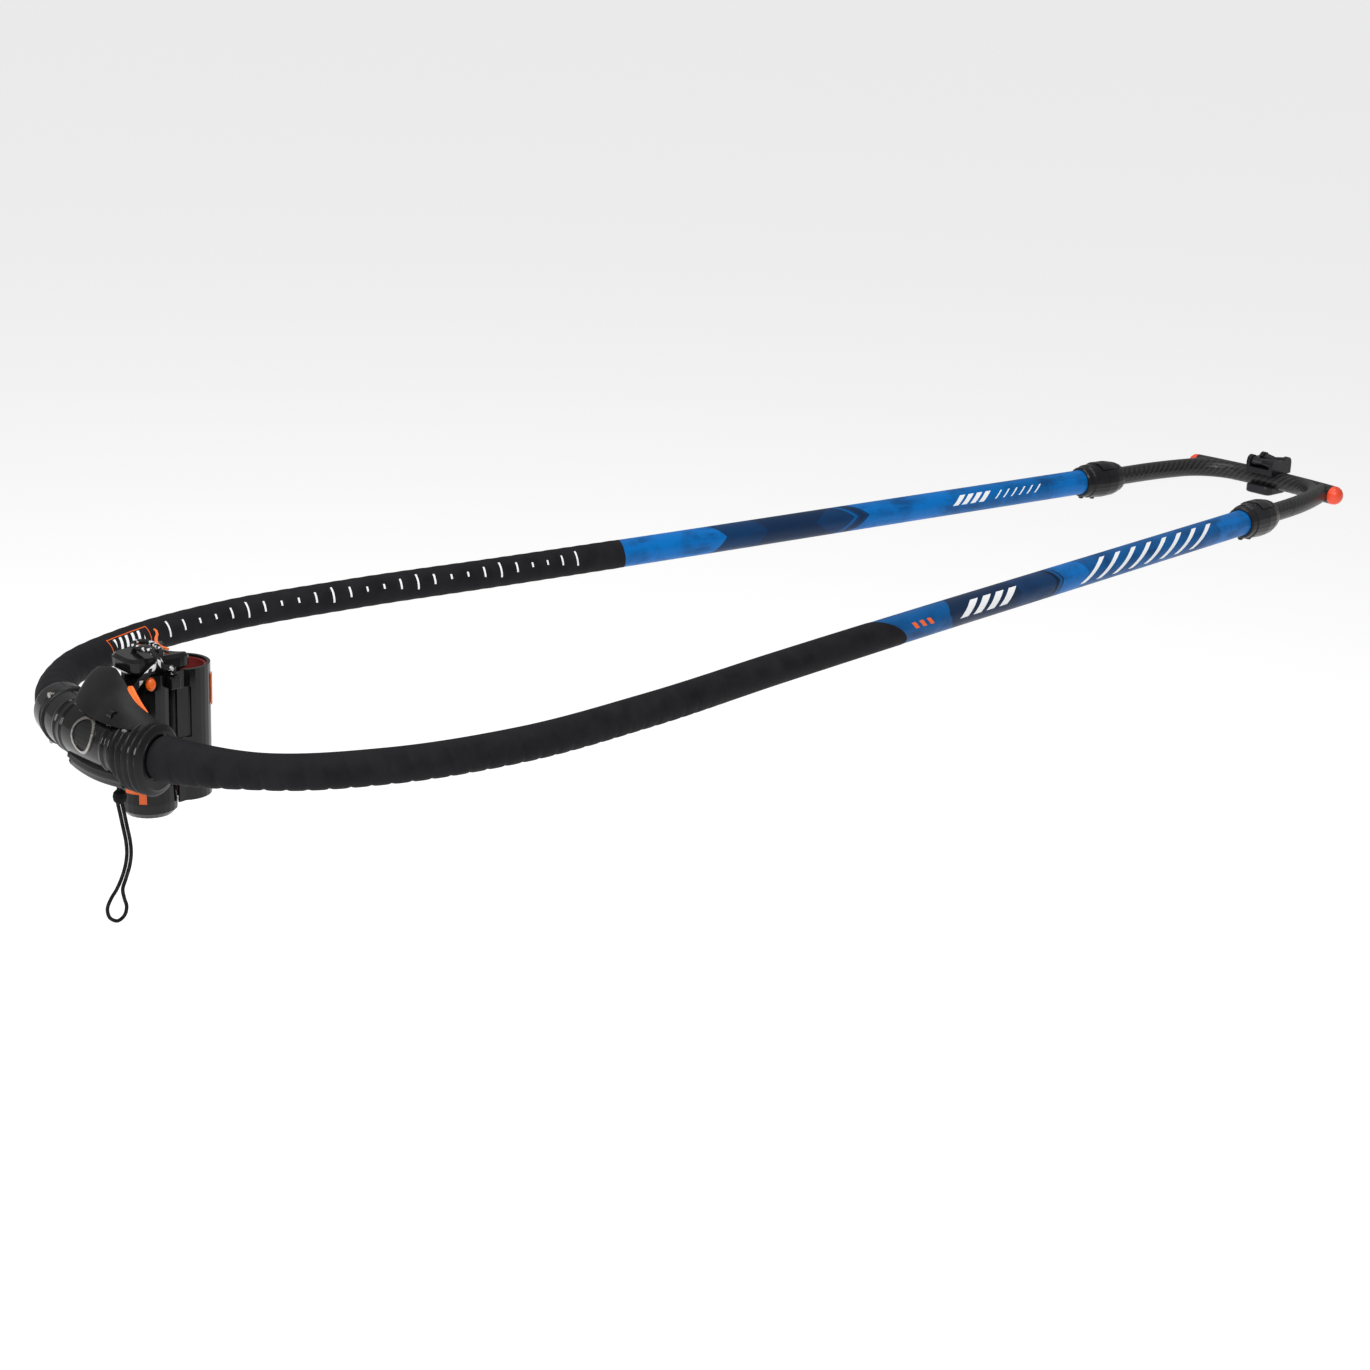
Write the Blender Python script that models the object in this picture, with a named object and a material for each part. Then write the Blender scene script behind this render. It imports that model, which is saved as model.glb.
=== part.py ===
"""Windsurf boom: a carbon wishbone with a mast clamp head and a telescoping tail.

Metres, +Z up. The origin is on the mast's axis, in the plane of the wishbone. +X runs aft to the
tail, -Y is port and +Y is starboard. Run it with: blender --background --python part.py
"""

import math

import bmesh
import bpy
from mathutils import Matrix, Vector

# Driving dimensions
TUBE_AXIS_X = -0.072  # centreline of the tube at the front of the bend
ARM_END_X = 1.202  # where the painted arms end, inside the collars
ARM_END_Y = 0.104
ARM_SLOPE = 0.0965  # how much the straight arms close in for each metre aft
TUBE_R = 0.0131  # painted rear part of the arms
TUBE_GRIP_R = 0.0114  # the same tube where the grips cover it
BORE_R = 0.0104  # inside of the tube
GAP = 0.0003  # clearance between pieces that touch

GRIP_R = 0.0133
GRIP_HEAD_R = 0.0168  # grips are thicker beside the head
GRIP_TAPER = 0.085  # length over which they slim down
PORT_GRIP_END_X = 0.597
STARBOARD_GRIP_END_X = 0.585

HEAD_HALF = 0.068  # half width of the head along the tube
SLEEVE_R = 0.0208  # outside of the clamp on the tube
BUSH_R = 0.0146
SCREW_R = 0.0014
MAST_R = 0.0166  # passage for the mast
COLUMN_X = -0.030  # axis of the upright column between the tube and the mast
COLUMN_R = 0.0185
COLUMN_BOTTOM = -0.069
COLUMN_TOP = 0.046
BASE_R = 0.0218  # the column's rounded foot
CAP_TOP = 0.056
BADGE_Y = -0.013
BADGE_Z = 0.0065
BADGE_HALF_Y = 0.0145
BADGE_HALF_Z = 0.0135
BADGE_RIM = 0.0022

JAW_R = 0.0213
JAW_WALL = 0.0026
JAW_TOP = 0.043
JAW_BOTTOM = -0.060
JAW_FIRST_DEG = 98
JAW_LAST_DEG = -118
WRAP_LOW = -0.0425  # the lower band of the jaw round the column ends here
WINDOW_LOW = -0.010
WINDOW_HIGH = 0.030
JAW_PIN = Vector((-0.010, 0.0262, 0.0))
JAW_PIN_R = 0.0018
LUG_HALF = 0.012
ROPE_ANCHOR = Vector((-0.0225, -0.0250, JAW_TOP - 0.0005))

LEVER_PIN = Vector((-0.079, 0.0, 0.0250))
LEVER_PIN_R = 0.0016
LEVER_EYE_R = 0.0040  # round ends of the ears and the hubs
LEVER_EARS_Y = (0.004, -0.034)
LEVER_LOW_Y = -0.060
LEVER_HIGH_Y = 0.016

COLLAR_FRONT_X = 1.191
COLLAR_LENGTH = 0.058
SCREW_OFFSETS = (0.0050, 0.0220)
CLIP_FRONT = 0.017  # distances aft of the collar's front edge
CLIP_LENGTH = 0.030
CLIP_LOW_R = 0.0162
CLIP_HIGH_R = 0.0193
CLIP_PIN_OFFSET = 0.035
CLIP_HINGE_OFFSET = CLIP_FRONT + 0.0022
CLIP_HINGE_Z = 0.0171
TONGUE_HALF = 0.0040  # half width of the clip's narrow front end, between the hinge's ears
TONGUE_END = 0.0028  # where it widens, aft of the hinge

LEG_R = 0.0097  # tail legs, which slide in the bore
LEG_WALL = 0.0016
BAR_R = 0.0099  # the tail's crossbar
CAP_R = 0.0100
LEG_INNER_X = 0.60  # inner end of the legs with the boom at its shortest
LEG_JOIN_X = 1.285  # where the straight legs meet the moulded tail bend
HOLE_PITCH = 0.025  # adjustment holes along the legs
HOLE_R = 0.0026
TAIL_X = 1.388  # centreline of the tail's bowed crossbar at its middle
CORNER_X = 1.384  # and where the legs meet it
CORNER_Y = 0.0735
BAR_END_Y = 0.0888  # the crossbar's open ends, which the caps close
ROLLER_X = (1.377, 1.399)
ROLLER_Z = 0.0188
ROLLER_R = 0.0053
SADDLE_LOW = 0.0072  # the outhaul block comes down this far round the crossbar
PLATE_BOTTOM = -0.0150
PLATE_TOP = -0.0060

ROPE_R = 0.0020
CORD_R = 0.0014

# Centreline of one arm from the front of the bend aft, up to where it runs straight
ARM_CURVE = [
    (TUBE_AXIS_X, 0.0),
    (-0.051, 0.097),
    (-0.014, 0.143),
    (0.059, 0.180),
    (0.162, 0.200),
    (0.293, 0.196),
    (0.454, 0.1775),
]

PAINTS = {
    "carbon": ((0.025, 0.025, 0.028), 0.35, 0.0),
    "paint_blue": ((0.0, 0.17, 0.62), 0.4, 0.0),
    "eva_black": ((0.022, 0.022, 0.024), 0.85, 0.0),
    "gloss_black": ((0.012, 0.012, 0.014), 0.18, 0.0),
    "satin_black": ((0.025, 0.025, 0.028), 0.45, 0.0),
    "matte_black": ((0.02, 0.02, 0.02), 0.75, 0.0),
    "orange": ((0.95, 0.22, 0.02), 0.45, 0.0),
    "red": ((0.75, 0.05, 0.02), 0.5, 0.0),
    "pad_red": ((0.32, 0.015, 0.015), 0.7, 0.0),
    "steel": ((0.6, 0.6, 0.62), 0.3, 1.0),
    "rope": ((0.25, 0.25, 0.26), 0.8, 0.0),
    "cord_black": ((0.02, 0.02, 0.02), 0.85, 0.0),
}


def clear_scene():
    for obj in list(bpy.data.objects):
        bpy.data.objects.remove(obj, do_unlink=True)


def material(name):
    found = bpy.data.materials.get(name)
    if found:
        return found
    colour, roughness, metallic = PAINTS[name]
    made = bpy.data.materials.new(name)
    made.use_nodes = True
    shader = made.node_tree.nodes["Principled BSDF"]
    shader.inputs["Base Color"].default_value = (*colour, 1.0)
    shader.inputs["Roughness"].default_value = roughness
    shader.inputs["Metallic"].default_value = metallic
    return made


def add_object(name, bm, paint, origin=(0, 0, 0), sharp=35):
    """Turn bm, drawn in world coordinates, into an object whose origin is at origin."""
    bmesh.ops.recalc_face_normals(bm, faces=bm.faces)
    bmesh.ops.translate(bm, verts=bm.verts, vec=-Vector(origin))
    mesh = bpy.data.meshes.new(name)
    bm.to_mesh(mesh)
    bm.free()
    mesh.shade_smooth()
    mesh.set_sharp_from_angle(angle=math.radians(sharp))
    mesh.materials.append(material(paint))
    obj = bpy.data.objects.new(name, mesh)
    obj.location = origin
    bpy.context.scene.collection.objects.link(obj)
    return obj


def boolean(obj, cutter, operation="DIFFERENCE"):
    """Cut obj with cutter, or join cutter to it; the helper stays hidden in the file."""
    modifier = obj.modifiers.new(operation.title(), "BOOLEAN")
    modifier.operation = operation
    modifier.solver = "EXACT"
    modifier.object = cutter
    cutter.hide_render = True
    cutter.display_type = "WIRE"
    return obj


def line_stations(start, end, shares, normal):
    """Stations along a straight axis: (point, normal, binormal) at each share of the way."""
    start, end, normal = Vector(start), Vector(end), Vector(normal)
    along = (end - start).normalized()
    normal = (normal - along * normal.dot(along)).normalized()
    binormal = along.cross(normal)
    return [(start + (end - start) * share, normal, binormal) for share in shares]


def sweep(stations, outer, inner=None, start=0.0, turn=360.0, steps=16):
    """Ring sections swept along stations. outer and inner are one radius for each station.

    A turn under 360 degrees leaves a C section, and no inner makes it solid.
    """
    bm = bmesh.new()
    full = turn >= 360.0
    count = steps if full else steps + 1

    def rings(radii):
        made = []
        for (point, normal, binormal), radius in zip(stations, radii):
            ring = []
            for step in range(count):
                angle = math.radians(start + turn * step / steps)
                offset = normal * math.cos(angle) + binormal * math.sin(angle)
                ring.append(bm.verts.new(point + offset * radius))
            made.append(ring)
        return made

    def skin(made):
        for low, high in zip(made, made[1:]):
            for step in range(steps):
                after = (step + 1) % count
                bm.faces.new((low[step], low[after], high[after], high[step]))

    outside = rings(outer)
    skin(outside)
    if inner is None:
        for ring in (outside[0], outside[-1]):
            bm.faces.new(ring)
        if not full:
            for low, high in zip(outside, outside[1:]):
                bm.faces.new((low[0], high[0], high[-1], low[-1]))
        return bm
    inside = rings(inner)
    skin(inside)
    for out_ring, in_ring in ((outside[0], inside[0]), (outside[-1], inside[-1])):
        for step in range(steps):
            after = (step + 1) % count
            bm.faces.new((out_ring[step], out_ring[after], in_ring[after], in_ring[step]))
    if not full:
        for edge in (0, -1):
            for k in range(len(stations) - 1):
                corners = (outside[k][edge], outside[k + 1][edge], inside[k + 1][edge], inside[k][edge])
                bm.faces.new(corners)
    return bm


def box(low, high, bevel=0.0, segments=2):
    bm = bmesh.new()
    low, high = Vector(low), Vector(high)
    bmesh.ops.create_cube(bm, size=1.0)
    bmesh.ops.scale(bm, vec=high - low, verts=bm.verts)
    bmesh.ops.translate(bm, vec=(low + high) / 2, verts=bm.verts)
    if bevel:
        bmesh.ops.bevel(bm, geom=bm.edges, offset=bevel, segments=segments, affect="EDGES", profile=0.5)
    return bm


def prism(outline, low, high, axis="Z", bevel=0.0):
    """A flat outline pulled from low to high along one axis, with its long edges rounded."""
    bm = bmesh.new()
    place = {
        "Z": lambda a, b, c: (a, b, c),
        "Y": lambda a, b, c: (a, c, b),
        "X": lambda a, b, c: (c, a, b),
    }[axis]
    bottom = bm.faces.new([bm.verts.new(place(a, b, low)) for a, b in outline])
    made = bmesh.ops.extrude_face_region(bm, geom=[bottom])
    raised = [v for v in made["geom"] if isinstance(v, bmesh.types.BMVert)]
    bmesh.ops.translate(bm, verts=raised, vec=Vector(place(0, 0, high - low)))
    if bevel:
        flat = [f for f in bm.faces if len(f.verts) == len(outline)]
        rims = list({e for f in flat for e in f.edges})
        bmesh.ops.bevel(bm, geom=rims, offset=bevel, segments=1, affect="EDGES", profile=0.5)
    return bm


def rounded(points, radius, steps=3):
    """An outline's corners as short arcs, each starting and ending radius from its corner."""
    made = []
    count = len(points)
    for k, corner in enumerate(points):
        corner = Vector(corner)
        before = (Vector(points[k - 1]) - corner).normalized() * radius
        after = (Vector(points[(k + 1) % count]) - corner).normalized() * radius
        for step in range(steps + 1):
            t = step / steps
            made.append(tuple(corner + before * (1 - t) ** 2 + after * t ** 2))
    return made


def joined(*parts):
    """Several closed solids in one bmesh, as they are."""
    whole = bmesh.new()
    for part in parts:
        mesh = bpy.data.meshes.new("part")
        part.to_mesh(mesh)
        part.free()
        whole.from_mesh(mesh)
        bpy.data.meshes.remove(mesh)
    return whole


# The wishbone's centreline


def curve_points(points, per_span):
    """A smooth curve through points, with chord-length tangents."""
    points = [Vector(p) for p in points]
    chords = [(b - a).length for a, b in zip(points, points[1:])]
    tangents = []
    for k in range(len(points)):
        if k == 0:
            tangents.append((points[1] - points[0]) / chords[0])
        elif k == len(points) - 1:
            tangents.append((points[-1] - points[-2]) / chords[-1])
        else:
            back = (points[k] - points[k - 1]) / chords[k - 1]
            ahead = (points[k + 1] - points[k]) / chords[k]
            share = chords[k - 1] / (chords[k - 1] + chords[k])
            tangents.append(back * (1 - share) + ahead * share)
    made = [points[0]]
    for k, chord in enumerate(chords):
        for step in range(1, per_span + 1):
            t = step / per_span
            made.append(
                points[k] * (2 * t**3 - 3 * t**2 + 1)
                + tangents[k] * chord * (t**3 - 2 * t**2 + t)
                + points[k + 1] * (3 * t**2 - 2 * t**3)
                + tangents[k + 1] * chord * (t**3 - t**2)
            )
    return made


def arm_y(x):
    """Half width of the wishbone where the arms are straight."""
    return ARM_END_Y + (ARM_END_X - x) * ARM_SLOPE


def wishbone_line(per_span=4):
    """The whole centreline, from the port arm's end round the front to the starboard arm's."""
    straight = [(0.60, arm_y(0.60)), (0.90, arm_y(0.90)), (ARM_END_X, ARM_END_Y)]
    half = ARM_CURVE + straight
    mirrored = [(x, -y) for x, y in reversed(half[1:])] + half
    return [Vector((p.x, p.y, 0.0)) for p in curve_points([Vector((x, y, 0)) for x, y in mirrored], per_span)]


def arc_lengths(points):
    """Distance along the curve from the front of the bend, negative on the port side."""
    total = [0.0]
    for a, b in zip(points, points[1:]):
        total.append(total[-1] + (b - a).length)
    middle = total[len(points) // 2]
    return [t - middle for t in total]


def point_at(distance):
    """The point of the centreline at a distance from the front of the bend."""
    points = wishbone_line(12)
    lengths = arc_lengths(points)
    last = len(lengths) - 1
    k = next(n for n in range(1, len(lengths)) if lengths[n] >= distance or n == last)
    share = (distance - lengths[k - 1]) / (lengths[k] - lengths[k - 1])
    return points[k - 1].lerp(points[k], share)


def marks_between(low, high):
    """Distances along the centreline that every piece on the tube shares, so that they nest."""
    marks, reach = [0.0], 0.0
    while reach < 0.6:
        reach += 0.020 + 0.06 * reach
        marks += [reach, -reach]
    starboard_end = arc_at_x(STARBOARD_GRIP_END_X)
    port_end = -arc_at_x(PORT_GRIP_END_X)
    marks += [HEAD_HALF, -HEAD_HALF, HEAD_HALF + 0.003, -HEAD_HALF - 0.003]
    marks += [port_end, port_end - 0.001, starboard_end, starboard_end + 0.001]
    inside = sorted(m for m in marks if low + 0.0002 < m < high - 0.0002)
    return [low] + inside + [high]


def stations_at(distances):
    """Stations on the centreline at each distance; the normal points out of the wishbone."""
    made = []
    for distance in distances:
        along = (point_at(distance + 0.004) - point_at(distance - 0.004)).normalized()
        made.append((point_at(distance), Vector((-along.y, along.x, 0.0)), Vector((0, 0, 1))))
    return made


def arc_at_x(x):
    """Distance from the front of the bend to where the starboard arm reaches x."""
    points = wishbone_line(12)
    lengths = arc_lengths(points)
    middle = len(points) // 2
    k = next(n for n in range(middle, len(points)) if points[n].x >= x)
    share = (x - points[k - 1].x) / (points[k].x - points[k - 1].x)
    return lengths[k - 1] + share * (lengths[k] - lengths[k - 1])


def arm_axis(side):
    """Unit vector aft along the straight part of one arm; side is -1 to port."""
    return Vector((1.0, -side * ARM_SLOPE, 0.0)).normalized()


def arm_point(side, x):
    return Vector((x, side * arm_y(x), 0.0))


# Wishbone tube and grips


def make_boom_tube():
    end = arc_at_x(ARM_END_X)
    port_end = -arc_at_x(PORT_GRIP_END_X)
    starboard_end = arc_at_x(STARBOARD_GRIP_END_X)
    marks = marks_between(-end, end)
    outer = [TUBE_GRIP_R if port_end - 0.0001 < m < starboard_end + 0.0001 else TUBE_R for m in marks]
    bm = sweep(stations_at(marks), outer, [BORE_R] * len(marks))
    return add_object("boom_tube", bm, "paint_blue")


def make_grip(name, side, end_x):
    """EVA sleeve from beside the head to end_x, thick at the head and slim along the arm."""
    first, last = HEAD_HALF + 0.003, arc_at_x(end_x)
    marks = marks_between(first, last) if side > 0 else marks_between(-last, -first)
    outer = []
    for mark in marks:
        share = min((abs(mark) - first) / GRIP_TAPER, 1.0)
        outer.append(GRIP_HEAD_R + (GRIP_R - GRIP_HEAD_R) * share * share * (3 - 2 * share))
    inner = [TUBE_GRIP_R + GAP] * len(marks)
    return add_object(name, sweep(stations_at(marks), outer, inner), "eva_black")


# Head: a split clamp on the tube, with a column and a cradle for the mast


def sleeve_half(side, low=-HEAD_HALF, high=HEAD_HALF):
    """Half a sleeve round the tube: side +1 is the aft half and -1 the front half."""
    stations = stations_at(marks_between(low, high))
    start = 90.6 if side > 0 else -89.4
    return sweep(stations, [SLEEVE_R] * len(stations), [BUSH_R + GAP] * len(stations), start, 178.8, 12)


def make_tube_bush():
    stations = stations_at(marks_between(-HEAD_HALF, HEAD_HALF))
    bm = sweep(stations, [BUSH_R] * len(stations), [TUBE_GRIP_R + GAP] * len(stations))
    return add_object("tube_bush", bm, "eva_black")


def screw_places():
    return [Vector((TUBE_AXIS_X + 0.0072, y, z)) for y in (-0.052, 0.052) for z in (-0.0177, 0.0177)]


def screw_solid(place, extra=0.0):
    """A screw with its head at the front, drawn from inside the aft half forwards."""
    reach = [0.0045, -0.0150, -0.0150, -0.0172 - extra * 20]
    radii = [SCREW_R + extra, SCREW_R + extra, 0.0024 + extra, 0.0024 + extra]
    stations = [(place + Vector((dx, 0, 0)), Vector((0, 1, 0)), Vector((0, 0, 1))) for dx in reach]
    return sweep(stations, radii, steps=12)


def make_cover_screws():
    for k, place in enumerate(screw_places()):
        origin = place + Vector((-0.0172, 0, 0))
        add_object(f"cover_screw_{k + 1}", screw_solid(place), "steel", origin)


def upright(radii, x=0.0, y=0.0):
    """Stations up a vertical axis, from (height, radius) pairs."""
    return [(Vector((x, y, z)), Vector((1, 0, 0)), Vector((0, 1, 0))) for z, _ in radii]


def round_bar(name, x, y, low, high, radius, paint="steel", steps=16):
    pairs = [(low, radius), (high, radius)]
    return add_object(name, sweep(upright(pairs, x, y), [radius] * 2, steps=steps), paint, (x, y, 0))


def cross_bar(x, z, low, high, radius, steps=16):
    """A solid bar along Y."""
    stations = line_stations((x, low, z), (x, high, z), (0, 1), (1, 0, 0))
    return sweep(stations, [radius] * 2, steps=steps)


def make_head_body():
    """Aft half of the tube clamp, with the web, the column, its cap and its base."""
    half = add_object("head_half", sleeve_half(1), "gloss_black")
    web = add_object("head_web", box((-0.060, -0.0150, -0.0235), (-0.040, 0.0150, 0.020), 0.002), "gloss_black")
    profile = [
        (COLUMN_BOTTOM, 0.0180),
        (COLUMN_BOTTOM + 0.004, BASE_R - 0.0004),
        (COLUMN_BOTTOM + 0.011, BASE_R),
        (WRAP_LOW - 0.0025, BASE_R - 0.0010),
        (WRAP_LOW - 0.0015, COLUMN_R),
        (COLUMN_TOP, COLUMN_R),
    ]
    column = add_object("head_body", sweep(upright(profile, COLUMN_X), [r for _, r in profile], steps=28), "gloss_black")
    lug_low = JAW_PIN + Vector((-0.016, -0.016, -LUG_HALF))
    lug_high = JAW_PIN + Vector((0.0042, 0.0042, LUG_HALF))
    lug = add_object("head_lug", box(lug_low, lug_high, 0.002), "gloss_black")
    for piece in (half, web, lug):
        boolean(column, piece, "UNION")
    mast = sweep(upright([(-0.2, 0), (0.2, 0)]), [JAW_R + 0.0005] * 2, steps=32)
    boolean(column, add_object("mast_cutter", mast, "steel"))
    cap_outline = rounded([(-0.053, -0.0165), (-0.003, -0.0215), (-0.003, 0.0215), (-0.053, 0.0165)], 0.011, 5)
    cap = prism(cap_outline, JAW_TOP + 0.001, CAP_TOP, "Z", 0.0025)
    boolean(column, add_object("head_cap", cap, "gloss_black"), "UNION")
    passage = sweep(upright([(-0.2, 0), (0.2, 0)]), [MAST_R + 0.0006] * 2, steps=32)
    boolean(column, add_object("cap_passage_cutter", passage, "steel"))
    stations = stations_at(marks_between(-HEAD_HALF - 0.03, HEAD_HALF + 0.03))
    boolean(column, add_object("tube_cutter", sweep(stations, [BUSH_R + GAP / 2] * len(stations)), "steel"))
    pin_hole = sweep(upright([(-0.2, 0), (0.2, 0)], JAW_PIN.x, JAW_PIN.y), [JAW_PIN_R + GAP] * 2, steps=16)
    boolean(column, add_object("jaw_pin_cutter", pin_hole, "steel"))
    boolean(column, add_object("screw_cutter", joined(*[screw_solid(p, GAP) for p in screw_places()]), "steel"))
    return column


def make_head_cover():
    """Front half of the tube clamp, with the lever's ears, held by four screws."""
    cover = add_object("head_cover", sleeve_half(-1), "gloss_black")
    for k, y in enumerate(LEVER_EARS_Y):
        ear = prism(eye_outline(0.0150), y - 0.003, y + 0.003, "Y")
        boolean(cover, add_object(f"cover_ear_{k}", ear, "gloss_black"), "UNION")
    boolean(cover, bpy.data.objects["screw_cutter"])
    pin_hole = cross_bar(LEVER_PIN.x, LEVER_PIN.z, -0.1, 0.1, LEVER_PIN_R + GAP)
    boolean(cover, add_object("lever_pin_cutter", pin_hole, "steel"))
    return cover


def eye_outline(foot):
    """Side view of an ear or hub: round about the lever's pin, with straight sides down to foot."""
    made = [(LEVER_PIN.x + LEVER_EYE_R, foot)]
    for step in range(9):
        angle = math.pi * step / 8
        made.append((LEVER_PIN.x + LEVER_EYE_R * math.cos(angle), LEVER_PIN.z + LEVER_EYE_R * math.sin(angle)))
    return made + [(LEVER_PIN.x - LEVER_EYE_R, foot)]


def badge_outline(grow=0.0):
    """The badge's pointed oval, as (y, z) pairs round its centre."""
    made = []
    for step in range(28):
        angle = 2 * math.pi * step / 28
        y = (BADGE_HALF_Y + grow) * math.sin(angle) * (1 - 0.18 * (1 - math.cos(angle)) / 2)
        z = (BADGE_HALF_Z + grow) * math.cos(angle)
        made.append((BADGE_Y + y, BADGE_Z + z))
    return made


def make_badge():
    """A metal ring round a plain black plate, both curved to the front of the clamp."""
    outlines = ((0.0, 0.0024, "steel"), (-BADGE_RIM - GAP, 0.0014, "matte_black"))
    for name, (grow, height, paint) in zip(("badge_ring", "badge_plate"), outlines):
        stations = stations_at(marks_between(-0.034, 0.008))
        low, high = [SLEEVE_R + GAP] * len(stations), [SLEEVE_R + height] * len(stations)
        shell = add_object(name, sweep(stations, high, low, -85.0, 170.0, 16), paint)
        outline = add_object(f"{name}_outline", prism(badge_outline(grow), -0.12, -0.072, "X"), "steel")
        boolean(shell, outline, "INTERSECT")
    hole = add_object("ring_cutter", prism(badge_outline(-BADGE_RIM), -0.13, -0.06, "X"), "steel")
    boolean(bpy.data.objects["badge_ring"], hole)


def make_lower_guard():
    """Ribbed rubber guard under the front of the clamp."""
    stations = stations_at(marks_between(LEVER_LOW_Y + 0.014, LEVER_HIGH_Y))
    low, high = SLEEVE_R + GAP, SLEEVE_R + 0.0075
    bm = sweep(stations, [high] * len(stations), [low] * len(stations), -109.0, 53.0, 6)
    return add_object("lower_guard", bm, "matte_black")


def make_base_trim():
    """Orange T-shaped trim, curved to the front of the column's foot."""
    low, high = BASE_R + GAP, BASE_R + 0.0018
    heights = (WRAP_LOW - 0.0135, WRAP_LOW - 0.0060, WRAP_LOW - 0.0012)
    first, step_deg, columns, stem = -168.0, 7.0, 8, (4, 5)
    bm = bmesh.new()
    grid = []
    for z in heights:
        angles = [math.radians(first + step_deg * k) for k in range(columns + 1)]
        grid.append([bm.verts.new((COLUMN_X + low * math.cos(a), low * math.sin(a), z)) for a in angles])
    for row in range(2):
        for k in range(columns):
            if row == 1 or k in stem:
                bm.faces.new((grid[row][k], grid[row][k + 1], grid[row + 1][k + 1], grid[row + 1][k]))
    bmesh.ops.delete(bm, geom=[v for v in bm.verts if not v.link_faces], context="VERTS")
    made = bmesh.ops.extrude_face_region(bm, geom=bm.faces[:])
    for vert in made["geom"]:
        if isinstance(vert, bmesh.types.BMVert):
            vert.co.x = COLUMN_X + (vert.co.x - COLUMN_X) * high / low
            vert.co.y *= high / low
    return add_object("base_trim", bm, "orange")


def make_cradle_pad():
    """Rubber lining on the column's side of the mast's passage."""
    pairs = [(JAW_BOTTOM + 0.004, 0), (JAW_TOP - 0.003, 0)]
    bm = sweep(upright(pairs), [JAW_R] * 2, [MAST_R] * 2, 131.0, 98.0, 10)
    return add_object("cradle_pad", bm, "pad_red")


def path_stations(points):
    """Stations along a path that never runs straight up."""
    made = []
    for k, point in enumerate(points):
        along = (points[min(k + 1, len(points) - 1)] - points[max(k - 1, 0)]).normalized()
        normal = Vector((0, 0, 1)).cross(along).normalized()
        made.append((point, normal, along.cross(normal)))
    return made


def make_rope_hook():
    """Orange crescent on the cap's rim, rising to a horn that the clamp rope loops round."""
    ring, points, radii = MAST_R + 0.0016, [], []
    for step in range(8):
        share = step / 7
        angle = math.radians(208 - 78 * share)
        radius = 0.0005 + 0.0008 * math.sin(math.pi * (0.15 + 0.6 * share))
        height = CAP_TOP + GAP * 2 + radius + 0.0048 * max(share - 0.55, 0.0) / 0.45
        points.append(Vector((ring * math.cos(angle), ring * math.sin(angle), height)))
        radii.append(radius)
    points += [points[-1] + Vector((0.0004, 0.0018, 0.0022)), points[-1] + Vector((-0.0010, 0.0032, 0.0036))]
    radii += [radii[-1] * 0.9, 0.0006]
    return add_object("rope_hook", sweep(path_stations(points), radii, steps=10), "orange")


# Mast jaw: the shell that swings shut behind the mast


def jaw_outline(radius, samples=18):
    """Plan of the shell, from the pin round the back of the mast to the column's port side."""
    made = []
    for step in range(samples + 1):
        angle = math.radians(JAW_FIRST_DEG + (JAW_LAST_DEG - JAW_FIRST_DEG) * step / samples)
        made.append((radius * math.cos(angle), radius * math.sin(angle)))
    return made


def make_mast_jaw():
    wall_in, wall_out = JAW_R - JAW_WALL, JAW_R
    wrap_r = COLUMN_R + GAP * 2
    wrap = []
    for step in range(7):
        angle = math.radians(-88 - 37 * step / 6)
        wrap.append((math.cos(angle), math.sin(angle)))
    outside = jaw_outline(wall_out) + [(COLUMN_X + (wrap_r + JAW_WALL) * c, (wrap_r + JAW_WALL) * s) for c, s in wrap]
    inside = jaw_outline(wall_in) + [(COLUMN_X + wrap_r * c, wrap_r * s) for c, s in wrap]
    shell = add_object("mast_jaw", prism(outside + inside[::-1], JAW_BOTTOM, JAW_TOP), "gloss_black", JAW_PIN)
    for k, (low, high) in enumerate(((LUG_HALF + GAP * 2, JAW_TOP - 0.004), (JAW_BOTTOM + 0.006, -LUG_HALF - GAP * 2))):
        knuckle = [(JAW_PIN.x - 0.0042, JAW_PIN.y + 0.0042), (JAW_PIN.x - 0.0042, JAW_PIN.y - 0.0042)]
        knuckle += [(JAW_PIN.x + 0.010, JAW_PIN.y - 0.0066), (JAW_PIN.x + 0.010, JAW_PIN.y + 0.0005)]
        knuckle += [(JAW_PIN.x + 0.0042, JAW_PIN.y + 0.0042)]
        boolean(shell, add_object(f"jaw_knuckle_{k}", prism(knuckle, low, high), "gloss_black"), "UNION")
    window = box((COLUMN_X + 0.013, -0.03, WINDOW_LOW), (-0.005, -0.0187, WINDOW_HIGH), 0.001)
    boolean(shell, add_object("window_cutter", window, "steel"))
    for k, (low, high) in enumerate(((WINDOW_LOW - 0.014, WINDOW_HIGH + 0.002), (-0.1, WRAP_LOW))):
        front = box((COLUMN_X - 0.03, -0.03, low), (COLUMN_X + 0.014, 0.0, high), 0.001)
        boolean(shell, add_object(f"wrap_cutter_{k}", front, "steel"))
    anchor = box(ROPE_ANCHOR - Vector((0.0045, 0.0035, 0.010)), ROPE_ANCHOR + Vector((0.0045, 0.0045, 0)), 0.001)
    boolean(shell, add_object("rope_anchor", anchor, "gloss_black"), "UNION")
    clear = sweep(upright([(-0.2, 0), (0.2, 0)]), [MAST_R] * 2, steps=32)
    boolean(shell, add_object("passage_cutter", clear, "steel"))
    boolean(shell, add_object("jaw_hole_cutter", jaw_pin_bar(0.2, GAP), "steel"))
    return shell


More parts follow.
